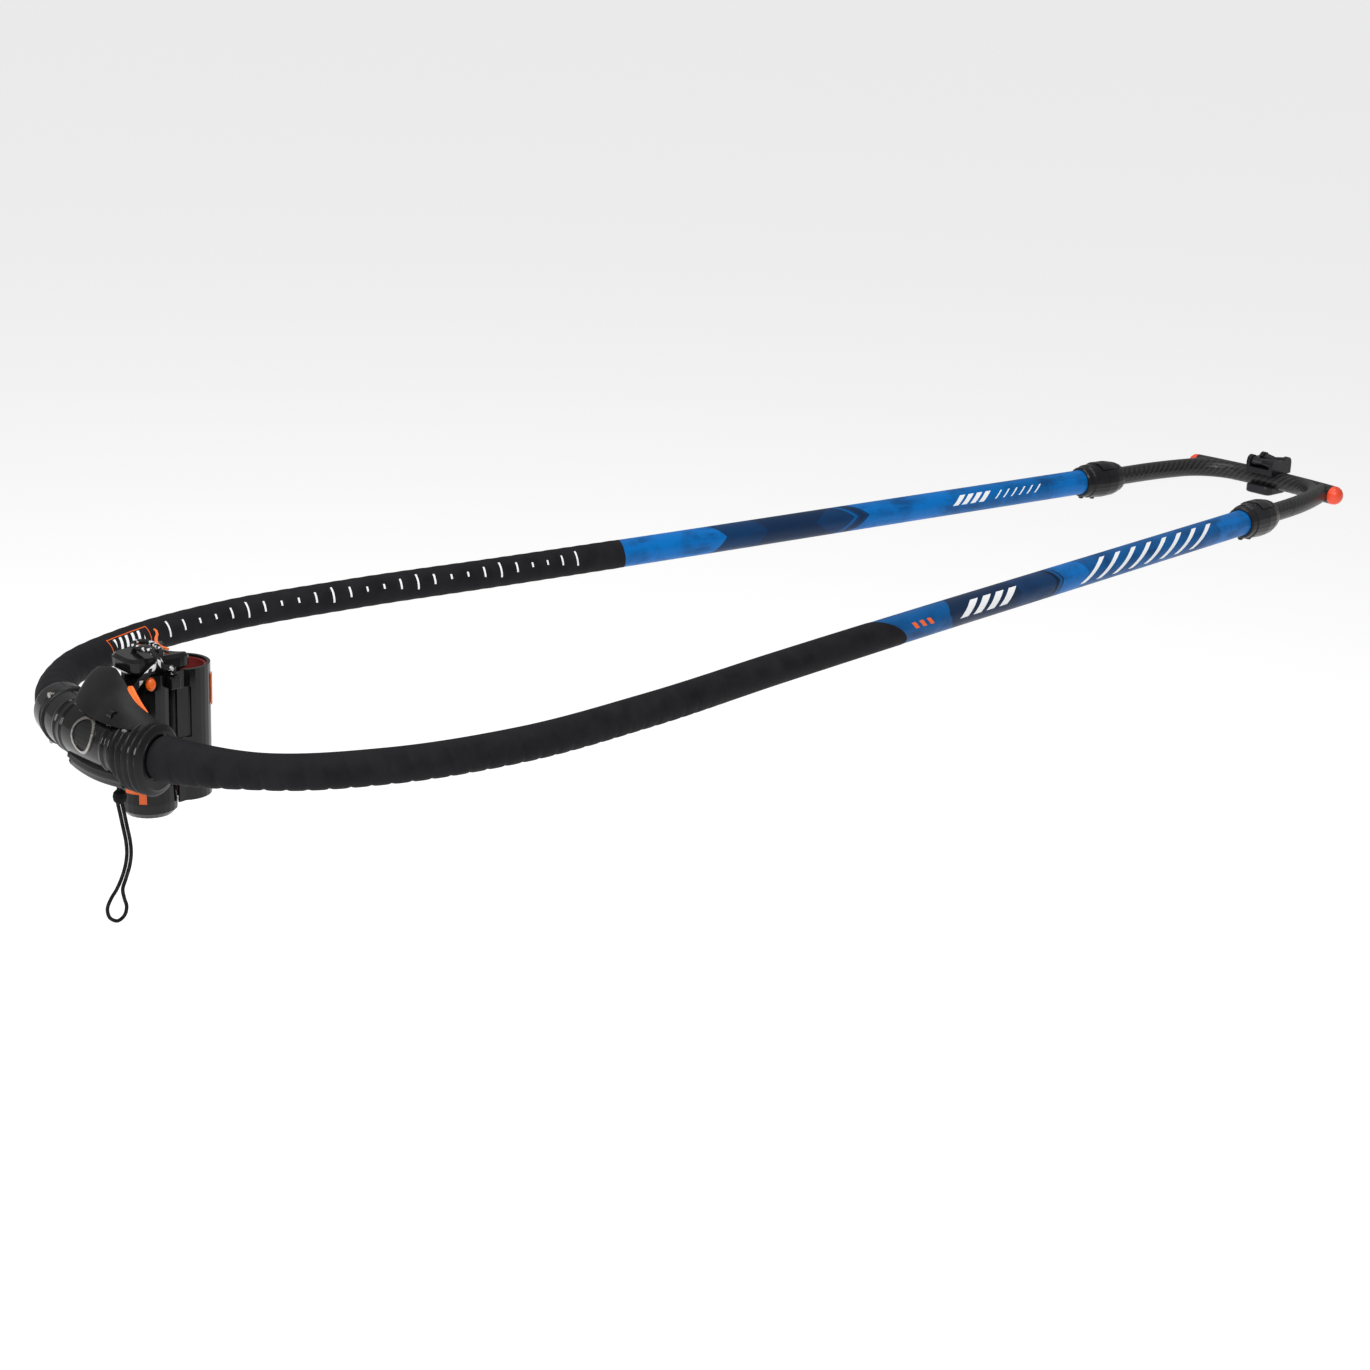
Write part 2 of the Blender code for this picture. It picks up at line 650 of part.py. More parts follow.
def jaw_pin_bar(half, extra=0.0):
    return sweep(upright([(-half, 0), (half, 0)], JAW_PIN.x, JAW_PIN.y), [JAW_PIN_R + extra] * 2, steps=16)


def make_jaw_pad():
    """Red rubber lining inside the back of the jaw."""
    pairs = [(JAW_BOTTOM + 0.004, 0), (JAW_TOP - 0.002, 0)]
    bm = sweep(upright(pairs), [JAW_R - JAW_WALL - GAP] * 2, [MAST_R] * 2, -62.0, 124.0, 14)
    return add_object("jaw_pad", bm, "pad_red", JAW_PIN)


def make_jaw_stripe():
    """Orange strip on the back of the jaw."""
    pairs = [(0.010, 0), (0.034, 0)]
    bm = sweep(upright(pairs), [JAW_R + 0.0011] * 2, [JAW_R + GAP] * 2, -44.0, 16.0, 3)
    return add_object("jaw_stripe", bm, "orange", JAW_PIN)


def make_rope_eyelet():
    """Orange teardrop button on the jaw's front edge."""
    angle = math.radians(-114)
    out = Vector((math.cos(angle), math.sin(angle), 0))
    centre = Vector((COLUMN_X, 0, 0.0375)) + out * (COLUMN_R + JAW_WALL + GAP * 4)
    stations = line_stations(centre, centre + out * 0.0026, (0, 0.5, 1), (0, 0, 1))
    bm = sweep(stations, [0.0038, 0.0036, 0.0020], steps=16)
    for vert in bm.verts:
        reach = (vert.co.z - centre.z) / 0.0038
        vert.co.z = centre.z + 0.0038 * (reach * 1.15 + 0.22 * reach * abs(reach))
    return add_object("rope_eyelet", bm, "orange", JAW_PIN)


# Clamp lever


def make_clamp_lever():
    """A low plate over the tube clamp, with a fin aft that slopes down to port."""
    front = LEVER_PIN.x + LEVER_EYE_R + 0.0008
    over = [(front, 0.0226), (-0.0640, 0.0220), (-0.0545, 0.0218)]
    over += [(-0.0545, 0.0245), (-0.0600, 0.0268), (-0.0680, 0.0275), (front, 0.0272)]
    lever = add_object("clamp_lever", prism(over, LEVER_LOW_Y, LEVER_HIGH_Y, "Y", 0.0012), "matte_black", LEVER_PIN)
    fin = [(0.0155, 0.0228), (0.0230, 0.0380), (0.0215, 0.0430), (-0.0060, 0.0520)]
    fin += [(-0.0110, 0.0510), (-0.0220, 0.0415), (-0.0530, 0.0228)]
    boolean(lever, add_object("lever_fin", prism(fin, -0.0625, -0.0552, "X", 0.0008), "matte_black"), "UNION")
    hubs = ((LEVER_EARS_Y[0] + 0.0035, LEVER_HIGH_Y), (LEVER_EARS_Y[1] + 0.0035, LEVER_EARS_Y[0] - 0.0035))
    for k, (low, high) in enumerate(hubs):
        eye = cross_bar(LEVER_PIN.x, LEVER_PIN.z, low, high, LEVER_EYE_R, 20)
        boolean(lever, add_object(f"lever_hub_{k}", eye, "matte_black"), "UNION")
        neck = box((LEVER_PIN.x, low, 0.0229), (front + 0.0015, high, 0.0269))
        boolean(lever, add_object(f"lever_neck_{k}", neck, "matte_black"), "UNION")
    boolean(lever, bpy.data.objects["lever_pin_cutter"])
    return lever


def make_lever_insert():
    """Orange strip along the sloping edge of the lever's fin."""
    up = Vector((-0.5165, 0.8563))
    low, high = Vector((-0.0240, 0.04030)) + up * GAP, Vector((-0.0470, 0.02642)) + up * GAP
    up *= 0.0020
    outline = [tuple(low), tuple(low + up), tuple(high + up), tuple(high)]
    return add_object("lever_insert", prism(outline, -0.0615, -0.0562, "X", 0.0005), "orange", LEVER_PIN)


def make_rope_stopper():
    """The knot that stops the clamp rope at the lever's starboard end."""
    heights = [(0.0, 0.0020), (0.0012, 0.0038), (0.0036, 0.0046), (0.0060, 0.0038), (0.0072, 0.0020)]
    stations = [
        (Vector((-0.071, LEVER_HIGH_Y + GAP + y, 0.0255)), Vector((1, 0, 0)), Vector((0, 0, 1))) for y, _ in heights
    ]
    return add_object("rope_stopper", sweep(stations, [r for _, r in heights], steps=12), "rope", LEVER_PIN)


def tube_curve(name, points, radius, paint, samples, resolution=2):
    """A cord as a bevelled curve, sampled from a smooth curve through its route's points."""
    smooth = curve_points(points, 8)
    lengths = [0.0]
    for a, b in zip(smooth, smooth[1:]):
        lengths.append(lengths[-1] + (b - a).length)
    curve = bpy.data.curves.new(name, "CURVE")
    curve.dimensions = "3D"
    curve.bevel_depth = radius
    curve.bevel_resolution = resolution
    curve.use_fill_caps = True
    curve.render_resolution_u = 0
    spline = curve.splines.new("POLY")
    spline.points.add(samples - 1)
    for k in range(samples):
        target = lengths[-1] * k / (samples - 1)
        i = next(n for n in range(1, len(lengths)) if lengths[n] >= target - 1e-9)
        share = (target - lengths[i - 1]) / (lengths[i] - lengths[i - 1])
        spline.points[k].co = (*smooth[i - 1].lerp(smooth[i], share), 1.0)
    curve.materials.append(material(paint))
    obj = bpy.data.objects.new(name, curve)
    bpy.context.scene.collection.objects.link(obj)
    return obj


# From behind the lever, up over the cap, round the horn and down to the jaw
ROPE_ROUTE = [
    (-0.0518, -0.0165, 0.0330),
    (-0.0490, -0.0185, 0.0385),
    (-0.0440, -0.0225, 0.0460),
    (-0.0370, -0.0240, 0.0525),
    (-0.0300, -0.0205, 0.0588),
    (-0.0250, -0.0125, 0.0590),
    (-0.0222, -0.0020, 0.0590),
    (-0.0213, 0.0065, 0.0590),
    (-0.0228, 0.0132, 0.0590),
    (-0.0280, 0.0156, 0.0590),
    (-0.0334, 0.0125, 0.0590),
    (-0.0358, 0.0040, 0.0592),
    (-0.0365, -0.0060, 0.0602),
    (-0.0372, -0.0150, 0.0622),
    (-0.0372, -0.0220, 0.0618),
    (-0.0362, -0.0268, 0.0580),
    (-0.0335, -0.0290, 0.0525),
    (-0.0285, -0.0286, 0.0506),
    (-0.0245, -0.0268, 0.0492),
    (-0.0227, -0.0254, 0.0465),
    (-0.0225, -0.0250, 0.0437),
]


def make_clamp_rope():
    return tube_curve("clamp_rope", ROPE_ROUTE, ROPE_R, "rope", 32)


# Pull loop: a short doubled cord with a knot, hanging from the guard under the head

PULL_STEM = [(-0.0660, -0.0180, -0.0288), (-0.0662, -0.0180, -0.0340), (-0.0660, -0.0180, -0.0392)]
PULL_LOOP = [
    (-0.0648, -0.0191, -0.0503),
    (-0.0633, -0.0191, -0.0580),
    (-0.0610, -0.0191, -0.0700),
    (-0.0588, -0.0191, -0.0820),
    (-0.0584, -0.0191, -0.0920),
    (-0.0600, -0.0191, -0.1010),
    (-0.0633, -0.0191, -0.1100),
    (-0.0664, -0.0193, -0.1180),
    (-0.0656, -0.0198, -0.1250),
    (-0.0640, -0.0202, -0.1320),
    (-0.0660, -0.0202, -0.1386),
    (-0.0715, -0.0194, -0.1420),
    (-0.0768, -0.0180, -0.1390),
    (-0.0782, -0.0166, -0.1320),
    (-0.0750, -0.0164, -0.1248),
    (-0.0700, -0.0167, -0.1180),
    (-0.0657, -0.0169, -0.1100),
    (-0.0623, -0.0169, -0.1010),
    (-0.0607, -0.0169, -0.0920),
    (-0.0611, -0.0169, -0.0820),
    (-0.0633, -0.0169, -0.0700),
    (-0.0656, -0.0169, -0.0580),
    (-0.0672, -0.0169, -0.0503),
]


def make_pull_loop():
    tube_curve("pull_stem", PULL_STEM, CORD_R * 1.5, "cord_black", 5)
    tube_curve("pull_loop", PULL_LOOP, CORD_R, "cord_black", 40)
    heights = [(-0.0500, 0.0026), (-0.0480, 0.0046), (-0.0447, 0.0052), (-0.0415, 0.0046), (-0.0395, 0.0026)]
    knot = sweep(upright(heights, -0.0660, -0.0180), [r for _, r in heights], steps=12)
    add_object("loop_knot", knot, "cord_black", (-0.0660, -0.0180, -0.0447))


# Collars: the clamps at the arms' ends, each with a guide bush and a locking clip


def arm_stations(side, offsets):
    """Stations along one arm at distances aft of its collar's front edge; normals point up."""
    axis = arm_axis(side)
    start = arm_point(side, COLLAR_FRONT_X)
    return [(start + axis * offset, Vector((0, 0, 1)), axis.cross(Vector((0, 0, 1)))) for offset in offsets]


def collar_profile():
    """The collar from its front lip aft: (distance, outer radius, inner radius)."""
    arm_end = (ARM_END_X - COLLAR_FRONT_X) * math.sqrt(1 + ARM_SLOPE**2)
    tube, bore = TUBE_R + GAP, BORE_R + 0.0001
    outside = [(0.0, 0.0148), (0.0015, 0.0160), (0.0080, 0.0167), (0.0095, 0.0178), (0.0300, 0.0192)]
    outside += [(0.0430, 0.0187), (0.0520, 0.0165), (0.0555, 0.0152), (COLLAR_LENGTH, 0.0126)]
    step = [(arm_end + GAP, 0.0179, tube), (arm_end + GAP * 2, 0.0179, bore)]
    front = [(x, r, tube) for x, r in outside if x < arm_end]
    return front + step + [(x, r, bore) for x, r in outside if x > arm_end]


def collar_radius(offset):
    """Outside radius of the collar at a distance aft of its front edge."""
    rows = collar_profile()
    k = next(n for n in range(1, len(rows)) if rows[n][0] >= offset)
    share = (offset - rows[k - 1][0]) / (rows[k][0] - rows[k - 1][0])
    return rows[k - 1][1] + share * (rows[k][1] - rows[k - 1][1])


def set_on_arm(bm, side, offset, height):
    """Turn a shape drawn along X into line with one arm, at a distance aft and a height."""
    bmesh.ops.rotate(bm, matrix=Matrix.Rotation(-side * math.atan(ARM_SLOPE), 3, "Z"), verts=bm.verts)
    place = arm_stations(side, [offset])[0][0] + Vector((0, 0, height))
    bmesh.ops.translate(bm, vec=place, verts=bm.verts)
    return bm


def make_collar(tag, side):
    origin = arm_point(side, COLLAR_FRONT_X)
    profile = collar_profile()
    stations = arm_stations(side, [row[0] for row in profile])
    bm = sweep(stations, [row[1] for row in profile], [row[2] for row in profile], steps=24)
    collar = add_object(f"collar_{tag}", bm, "satin_black", origin)
    low = CLIP_HINGE_OFFSET + TONGUE_END - GAP * 2
    high = CLIP_FRONT + CLIP_LENGTH + GAP * 2
    well = sweep(arm_stations(side, [low, high]), [0.03] * 2, [CLIP_LOW_R - GAP] * 2, -46, 92, 12)
    boolean(collar, add_object(f"clip_well_{tag}", well, "steel"))
    slot = box((-0.0029, -TONGUE_HALF - GAP, -0.0029), (0.0060, TONGUE_HALF + GAP, 0.0150))
    slot = set_on_arm(slot, side, CLIP_HINGE_OFFSET, CLIP_HINGE_Z)
    boolean(collar, add_object(f"clip_slot_{tag}", slot, "steel"))
    hinge_hole = cross_bar(0.0, 0.0, -0.0073, 0.0073, 0.0012, 10)
    hinge_hole = set_on_arm(hinge_hole, side, CLIP_HINGE_OFFSET, CLIP_HINGE_Z)
    boolean(collar, add_object(f"clip_hinge_hole_{tag}", hinge_hole, "steel"))
    pin_hole = sweep(pin_stations(side, 0.0, 0.03), [0.0032] * 2, steps=12)
    boolean(collar, add_object(f"clip_hole_{tag}", pin_hole, "steel"))
    holes = [sweep(screw_stations(side, offset, 0.0, 0.03), [SCREW_R + GAP] * 2, steps=10) for offset in SCREW_OFFSETS]
    boolean(collar, add_object(f"collar_holes_{tag}", joined(*holes), "steel"))
    for k, offset in enumerate(SCREW_OFFSETS):
        surface = collar_radius(offset) + GAP
        reach = [TUBE_R + GAP * 2, surface, surface, surface + 0.0014]
        stations = [screw_stations(side, offset, r, r + 0.001)[0] for r in reach]
        bm = sweep(stations, [SCREW_R, SCREW_R, 0.0029, 0.0023], steps=10)
        add_object(f"collar_screw_{tag}_{k + 1}", bm, "satin_black", origin)
    return collar


def pin_stations(side, low, high):
    """Stations up the locking pin's axis, between two distances from the arm's axis."""
    point = arm_stations(side, [CLIP_PIN_OFFSET])[0][0]
    return line_stations(point + Vector((0, 0, low)), point + Vector((0, 0, high)), (0, 1), (1, 0, 0))


def screw_stations(side, offset, low, high):
    point = arm_stations(side, [offset])[0][0]
    return line_stations(point - Vector((0, 0, low)), point - Vector((0, 0, high)), (0, 1), (1, 0, 0))


def make_guide_bush(tag, side):
    """Ring seal just inside the collar's lip that the leg slides through."""
    stations = arm_stations(side, [COLLAR_LENGTH + GAP, COLLAR_LENGTH + 0.0016, COLLAR_LENGTH + 0.0036])
    bm = sweep(stations, [0.0122, 0.0122, 0.0110], [LEG_R + 0.0002] * 3, steps=24)
    return add_object(f"wiper_{tag}", bm, "matte_black", arm_point(side, COLLAR_FRONT_X))


def clip_hinge(side):
    return arm_stations(side, [CLIP_HINGE_OFFSET])[0][0] + Vector((0, 0, CLIP_HINGE_Z))


def make_clip(tag, side):
    """Curved thumb clip on top of the collar, with its locking pin underneath."""
    start, end = CLIP_FRONT, CLIP_FRONT + CLIP_LENGTH
    offsets = [start, start + 0.004, end - 0.010, end - 0.003, end]
    outer = [0.0180, CLIP_HIGH_R + 0.0003, CLIP_HIGH_R, 0.0182, 0.0172]
    bm = sweep(arm_stations(side, offsets), outer, [CLIP_LOW_R] * 5, -44, 88, 12)
    clip = add_object(f"clip_{tag}", bm, "satin_black", clip_hinge(side))
    pin = sweep(pin_stations(side, LEG_R + 0.0004, CLIP_LOW_R + 0.001), [0.0020] * 2, steps=12)
    boolean(clip, add_object(f"clip_pin_{tag}", pin, "steel"), "UNION")
    hollow = bmesh.new()
    bmesh.ops.create_uvsphere(hollow, u_segments=20, v_segments=12, radius=1.0)
    bmesh.ops.scale(hollow, vec=(0.0105, 0.0075, 0.0066), verts=hollow.verts)
    hollow = set_on_arm(hollow, side, CLIP_PIN_OFFSET - 0.001, 0.0245)
    boolean(clip, add_object(f"clip_hollow_{tag}", hollow, "steel"))
    for k, edge in enumerate((-1, 1)):
        near, far = sorted((edge * TONGUE_HALF, edge * 0.03))
        shoulder = set_on_arm(box((-0.02, near, -0.02), (TONGUE_END, far, 0.02)), side, CLIP_HINGE_OFFSET, CLIP_HINGE_Z)
        boolean(clip, add_object(f"clip_shoulder_{tag}_{k}", shoulder, "steel"))
    hole = set_on_arm(cross_bar(0.0, 0.0, -0.02, 0.02, 0.0012, 10), side, CLIP_HINGE_OFFSET, CLIP_HINGE_Z)
    boolean(clip, add_object(f"clip_pivot_hole_{tag}", hole, "steel"))
    pivot = set_on_arm(cross_bar(0.0, 0.0, -0.0066, 0.0066, 0.0009, 10), side, CLIP_HINGE_OFFSET, CLIP_HINGE_Z)
    add_object(f"clip_pivot_{tag}", pivot, "steel", clip_hinge(side))
    return clip


# Tail: two legs in the arms, a moulded bend, end caps and the outhaul fitting


def leg_stations(side, xs):
    axis = arm_axis(side)
    return [(arm_point(side, x), Vector((0, 0, 1)), axis.cross(Vector((0, 0, 1)))) for x in xs]


def make_leg(tag, side):
    stations = leg_stations(side, [LEG_INNER_X, LEG_JOIN_X - GAP])
    bm = sweep(stations, [LEG_R] * 2, [LEG_R - LEG_WALL] * 2, steps=24)
    leg = add_object(f"tail_leg_{tag}", bm, "carbon")
    first = arm_stations(side, [CLIP_PIN_OFFSET])[0][0].x
    holes = []
    for k in range(21):
        point = arm_point(side, first - HOLE_PITCH * k)
        ends = line_stations(point, point + Vector((0, 0, 0.02)), (0, 1), (1, 0, 0))
        holes.append(sweep(ends, [HOLE_R] * 2, steps=6))
    boolean(leg, add_object(f"leg_holes_{tag}", joined(*holes), "steel"))
    plug = [(LEG_INNER_X - 0.004, LEG_R - 0.0006), (LEG_INNER_X - GAP, LEG_R - 0.0001)]
    plug += [(LEG_INNER_X - GAP, LEG_R - LEG_WALL - GAP), (LEG_INNER_X + 0.012, LEG_R - LEG_WALL - GAP)]
    bm = sweep(leg_stations(side, [x for x, _ in plug]), [r for _, r in plug], steps=16)
    add_object(f"leg_plug_{tag}", bm, "satin_black")
    ferrule = leg_stations(side, [LEG_JOIN_X - 0.018, LEG_JOIN_X + 0.010])
    add_object(f"leg_ferrule_{tag}", sweep(ferrule, [LEG_R - LEG_WALL - GAP] * 2, [0.0062] * 2, steps=16), "steel")
    return leg


def tail_leg_line(side):
    """The moulded leg's centreline: on from the straight leg, closing in towards the corner."""
    made = []
    reach = CORNER_X - LEG_JOIN_X
    inward = arm_y(CORNER_X) - CORNER_Y
    for step in range(9):
        x = LEG_JOIN_X + reach * step / 8
        share = (x - LEG_JOIN_X) / reach
        made.append(Vector((x, side * (arm_y(x) - inward * share * share), 0.0)))
    return made


def crossbar_line(beyond=0.0):
    """The crossbar's centreline, bowed aft; it runs past the legs, and beyond its own ends."""
    last = (BAR_END_Y + beyond) / CORNER_Y
    shares = [last * (step / 6 - 1) for step in range(13)]
    return [Vector((TAIL_X + (CORNER_X - TAIL_X) * s * s, CORNER_Y * s, 0.0)) for s in shares]


def tube_along(points, radius, steps=24):
    return sweep(path_stations(points), [radius] * len(points), steps=steps)


def bolt_places():
    return [(TAIL_X, y) for y in (-0.0085, 0.0085)]


def make_tail_bend():
    """Both ends of the legs and the bowed crossbar between them, as one hollow moulding."""
    bend = add_object("tail_bend", tube_along(tail_leg_line(-1), LEG_R), "carbon")
    boolean(bend, add_object("bend_leg", tube_along(tail_leg_line(1), LEG_R), "carbon"), "UNION")
    boolean(bend, add_object("bend_bar", tube_along(crossbar_line(), BAR_R, 26), "carbon"), "UNION")
    for side in (-1, 1):
        fillet = [(-0.036, 0.001), (-0.020, -0.008), (-0.010, -0.018), (-0.003, -0.036), (0.002, -0.004)]
        outline = [(CORNER_X + dx, side * (CORNER_Y + dy)) for dx, dy in fillet]
        low = LEG_R * 0.9
        piece = prism(outline if side > 0 else outline[::-1], -low, low, "Z", 0.003)
        boolean(bend, add_object(f"bend_fillet_{side}", piece, "carbon"), "UNION")
    for side in (-1, 1):
        line = tail_leg_line(side)
        first, last = line[0] - (line[1] - line[0]) * 0.5, line[-1] + (line[-1] - line[-2]) * 0.5
        bore = tube_along([first] + line[1:-1] + [last], LEG_R - LEG_WALL, 16)
        boolean(bend, add_object(f"bend_bore_{side}", bore, "steel"))
    boolean(bend, add_object("bar_bore", tube_along(crossbar_line(0.004), BAR_R - LEG_WALL, 16), "steel"))
    bolts = [sweep(upright([(-0.02, 0), (0.02, 0)], x, y), [SCREW_R + GAP] * 2, steps=12) for x, y in bolt_places()]
    boolean(bend, add_object("bend_bolt_holes", joined(*bolts), "steel"))
    return bend


def make_end_cap(tag, side):
    """A hemispherical cap plugged into one end of the crossbar."""
    inside = BAR_R - LEG_WALL - GAP
    profile = [(-0.006, inside - 0.0004), (GAP, inside), (GAP, CAP_R), (0.0020, CAP_R)]
    for step in range(1, 6):
        angle = math.pi / 2 * step / 6
        profile.append((0.0020 + 0.0092 * math.sin(angle), CAP_R * math.cos(angle)))
    line = crossbar_line() if side > 0 else crossbar_line()[::-1]
    along = (line[-1] - line[-2]).normalized()
    up = Vector((0, 0, 1))
    stations = [(line[-1] + along * reach, up, along.cross(up)) for reach, _ in profile]
    return add_object(f"end_cap_{tag}", sweep(stations, [r for _, r in profile], steps=16), "red")


def roller_lobes(radius):
    """Outline of the cheeks in side view: a round lobe about each roller, with a notch between."""
    low = SADDLE_LOW
    front, rear = ROLLER_X
    made = [(front - radius, low), (front - radius, ROLLER_Z)]
    for centre in (front, rear):
        for step in range(7):
            angle = math.pi * (1 - step / 6)
            if centre == front and angle < 0.5:
                continue
            if centre == rear and angle > math.pi - 0.5:
                continue
            made.append((centre + radius * math.cos(angle), ROLLER_Z + radius * math.sin(angle)))
    made += [(rear + radius, low)]
    return made


def make_outhaul():
    """Two rollers between cheeks on the crossbar, bolted through it to a plate underneath."""
    half, top = 0.0170, BAR_R + GAP
    block = add_object("outhaul_block", prism(roller_lobes(0.0068), -half, half, "Y"), "satin_black")
    room = box((1.3, -0.0125, top + 0.0030), (1.5, 0.0125, 0.05))
    boolean(block, add_object("roller_room", room, "steel"))
    plate = rounded([(-0.0185, -0.016), (0.0175, -0.016), (0.0175, 0.016), (-0.0185, 0.016)], 0.007)
    plate = prism([(TAIL_X + x, y) for x, y in plate], PLATE_BOTTOM, PLATE_TOP, "Z", 0.0012)
    under = add_object("outhaul_plate", plate, "satin_black")
    seat = add_object("crossbar_seat", tube_along(crossbar_line(), BAR_R + GAP, 26), "steel")
    boolean(block, seat)
    boolean(under, seat)
    for k, x in enumerate(ROLLER_X):
        hole = cross_bar(x, ROLLER_Z, -0.05, 0.05, 0.0017 + GAP, 12)
        boolean(block, add_object(f"roller_hole_{k}", hole, "steel"))
        origin = (x, 0, ROLLER_Z)
        name = ("front", "rear")[k]
        add_object(f"roller_pin_{name}", cross_bar(x, ROLLER_Z, -half, half, 0.0017, 12), "steel", origin)
        shape = [(-0.0121, ROLLER_R), (-0.0100, ROLLER_R), (0.0, ROLLER_R - 0.0018), (0.0100, ROLLER_R), (0.0121, ROLLER_R)]
        stations = [(Vector((x, y, ROLLER_Z)), Vector((1, 0, 0)), Vector((0, 0, 1))) for y, _ in shape]
        roller = sweep(stations, [r for _, r in shape], [0.0017 + 0.0001] * len(shape), steps=16)
        add_object(f"roller_{name}", roller, "satin_black", origin)
    holes = [
        sweep(upright([(PLATE_BOTTOM + 0.001, 0), (top + 0.0026, 0)], x, y), [SCREW_R + GAP] * 2, steps=12)
        for x, y in bolt_places()
    ]
    cutter = add_object("outhaul_holes", joined(*holes), "steel")
    boolean(block, cutter)
    boolean(under, cutter)
    for k, (x, y) in enumerate(bolt_places()):
        bolt = sweep(upright([(PLATE_BOTTOM + 0.0014, 0), (top + 0.0022, 0)], x, y), [SCREW_R] * 2, steps=12)
        add_object(f"outhaul_screw_{k + 1}", bolt, "steel", (x, y, 0))


def main():
    clear_scene()
    make_boom_tube()
    make_grip("grip_port", -1, PORT_GRIP_END_X)
    make_grip("grip_starboard", 1, STARBOARD_GRIP_END_X)
    make_tube_bush()
    make_head_body()
    make_head_cover()
    make_cover_screws()
    make_badge()
    make_lower_guard()
    make_base_trim()
    make_cradle_pad()
    make_rope_hook()
    make_mast_jaw()
    make_jaw_pad()
    make_jaw_stripe()
    make_rope_eyelet()
    add_object("jaw_pin", jaw_pin_bar(0.036), "steel", JAW_PIN)
    make_clamp_lever()
    make_lever_insert()
    make_rope_stopper()
    pin = cross_bar(LEVER_PIN.x, LEVER_PIN.z, LEVER_EARS_Y[1] - 0.003, LEVER_HIGH_Y - 0.001, LEVER_PIN_R)
    add_object("lever_pin", pin, "steel", LEVER_PIN)
    make_clamp_rope()
    make_pull_loop()
    for tag, side in (("port", -1), ("starboard", 1)):
        make_collar(tag, side)
        make_guide_bush(tag, side)
        make_clip(tag, side)
        make_leg(tag, side)
        make_end_cap(tag, side)
    make_tail_bend()
    make_outhaul()


main()
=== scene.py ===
import math

import bmesh
import bpy
from mathutils import Matrix, Vector


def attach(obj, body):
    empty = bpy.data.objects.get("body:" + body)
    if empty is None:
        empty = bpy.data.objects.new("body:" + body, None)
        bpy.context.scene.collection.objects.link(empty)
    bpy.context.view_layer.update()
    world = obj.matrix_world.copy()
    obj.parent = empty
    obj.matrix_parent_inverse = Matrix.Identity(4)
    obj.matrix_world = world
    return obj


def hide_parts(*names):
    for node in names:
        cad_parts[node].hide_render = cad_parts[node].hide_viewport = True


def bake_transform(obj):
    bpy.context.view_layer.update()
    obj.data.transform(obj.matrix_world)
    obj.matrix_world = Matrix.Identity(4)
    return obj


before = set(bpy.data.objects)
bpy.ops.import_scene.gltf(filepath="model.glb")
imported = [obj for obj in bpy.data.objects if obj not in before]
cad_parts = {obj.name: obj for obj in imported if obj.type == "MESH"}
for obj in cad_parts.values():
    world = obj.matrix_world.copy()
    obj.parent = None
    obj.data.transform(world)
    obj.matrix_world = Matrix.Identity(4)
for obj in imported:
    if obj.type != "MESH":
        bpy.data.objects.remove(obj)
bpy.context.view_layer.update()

# Camera, floor and light

YAW, PITCH, ROLL = math.radians(43.488), math.radians(17.961), math.radians(2.472)
FLOOR_Z = -0.62


def make_camera():
    ahead = Vector((math.sin(YAW) * math.cos(PITCH), math.cos(YAW) * math.cos(PITCH), -math.sin(PITCH)))
    right = Vector((math.cos(YAW), -math.sin(YAW), 0.0))
    up = right.cross(ahead)
    r = right * math.cos(ROLL) + up * math.sin(ROLL)
    u = -right * math.sin(ROLL) + up * math.cos(ROLL)
    data = bpy.data.cameras.new("camera")
    data.lens, data.sensor_width = 2600.0 / 1370.0 * 36.0, 36.0
    data.clip_end = 100.0
    cam = bpy.data.objects.new("camera", data)
    turn = Matrix((r, u, -ahead)).transposed().to_4x4()
    cam.matrix_world = Matrix.Translation((-0.998, -1.599, 0.640)) @ turn
    bpy.context.scene.collection.objects.link(cam)
    bpy.context.scene.camera = cam


def area_light(name, place, target, size, power):
    data = bpy.data.lights.new(name, "AREA")
    data.shape, data.size, data.energy = "SQUARE", size, power
    light = bpy.data.objects.new(name, data)
    light.location = place
    light.rotation_euler = (Vector(target) - Vector(place)).to_track_quat("-Z", "Y").to_euler()
    bpy.context.scene.collection.objects.link(light)


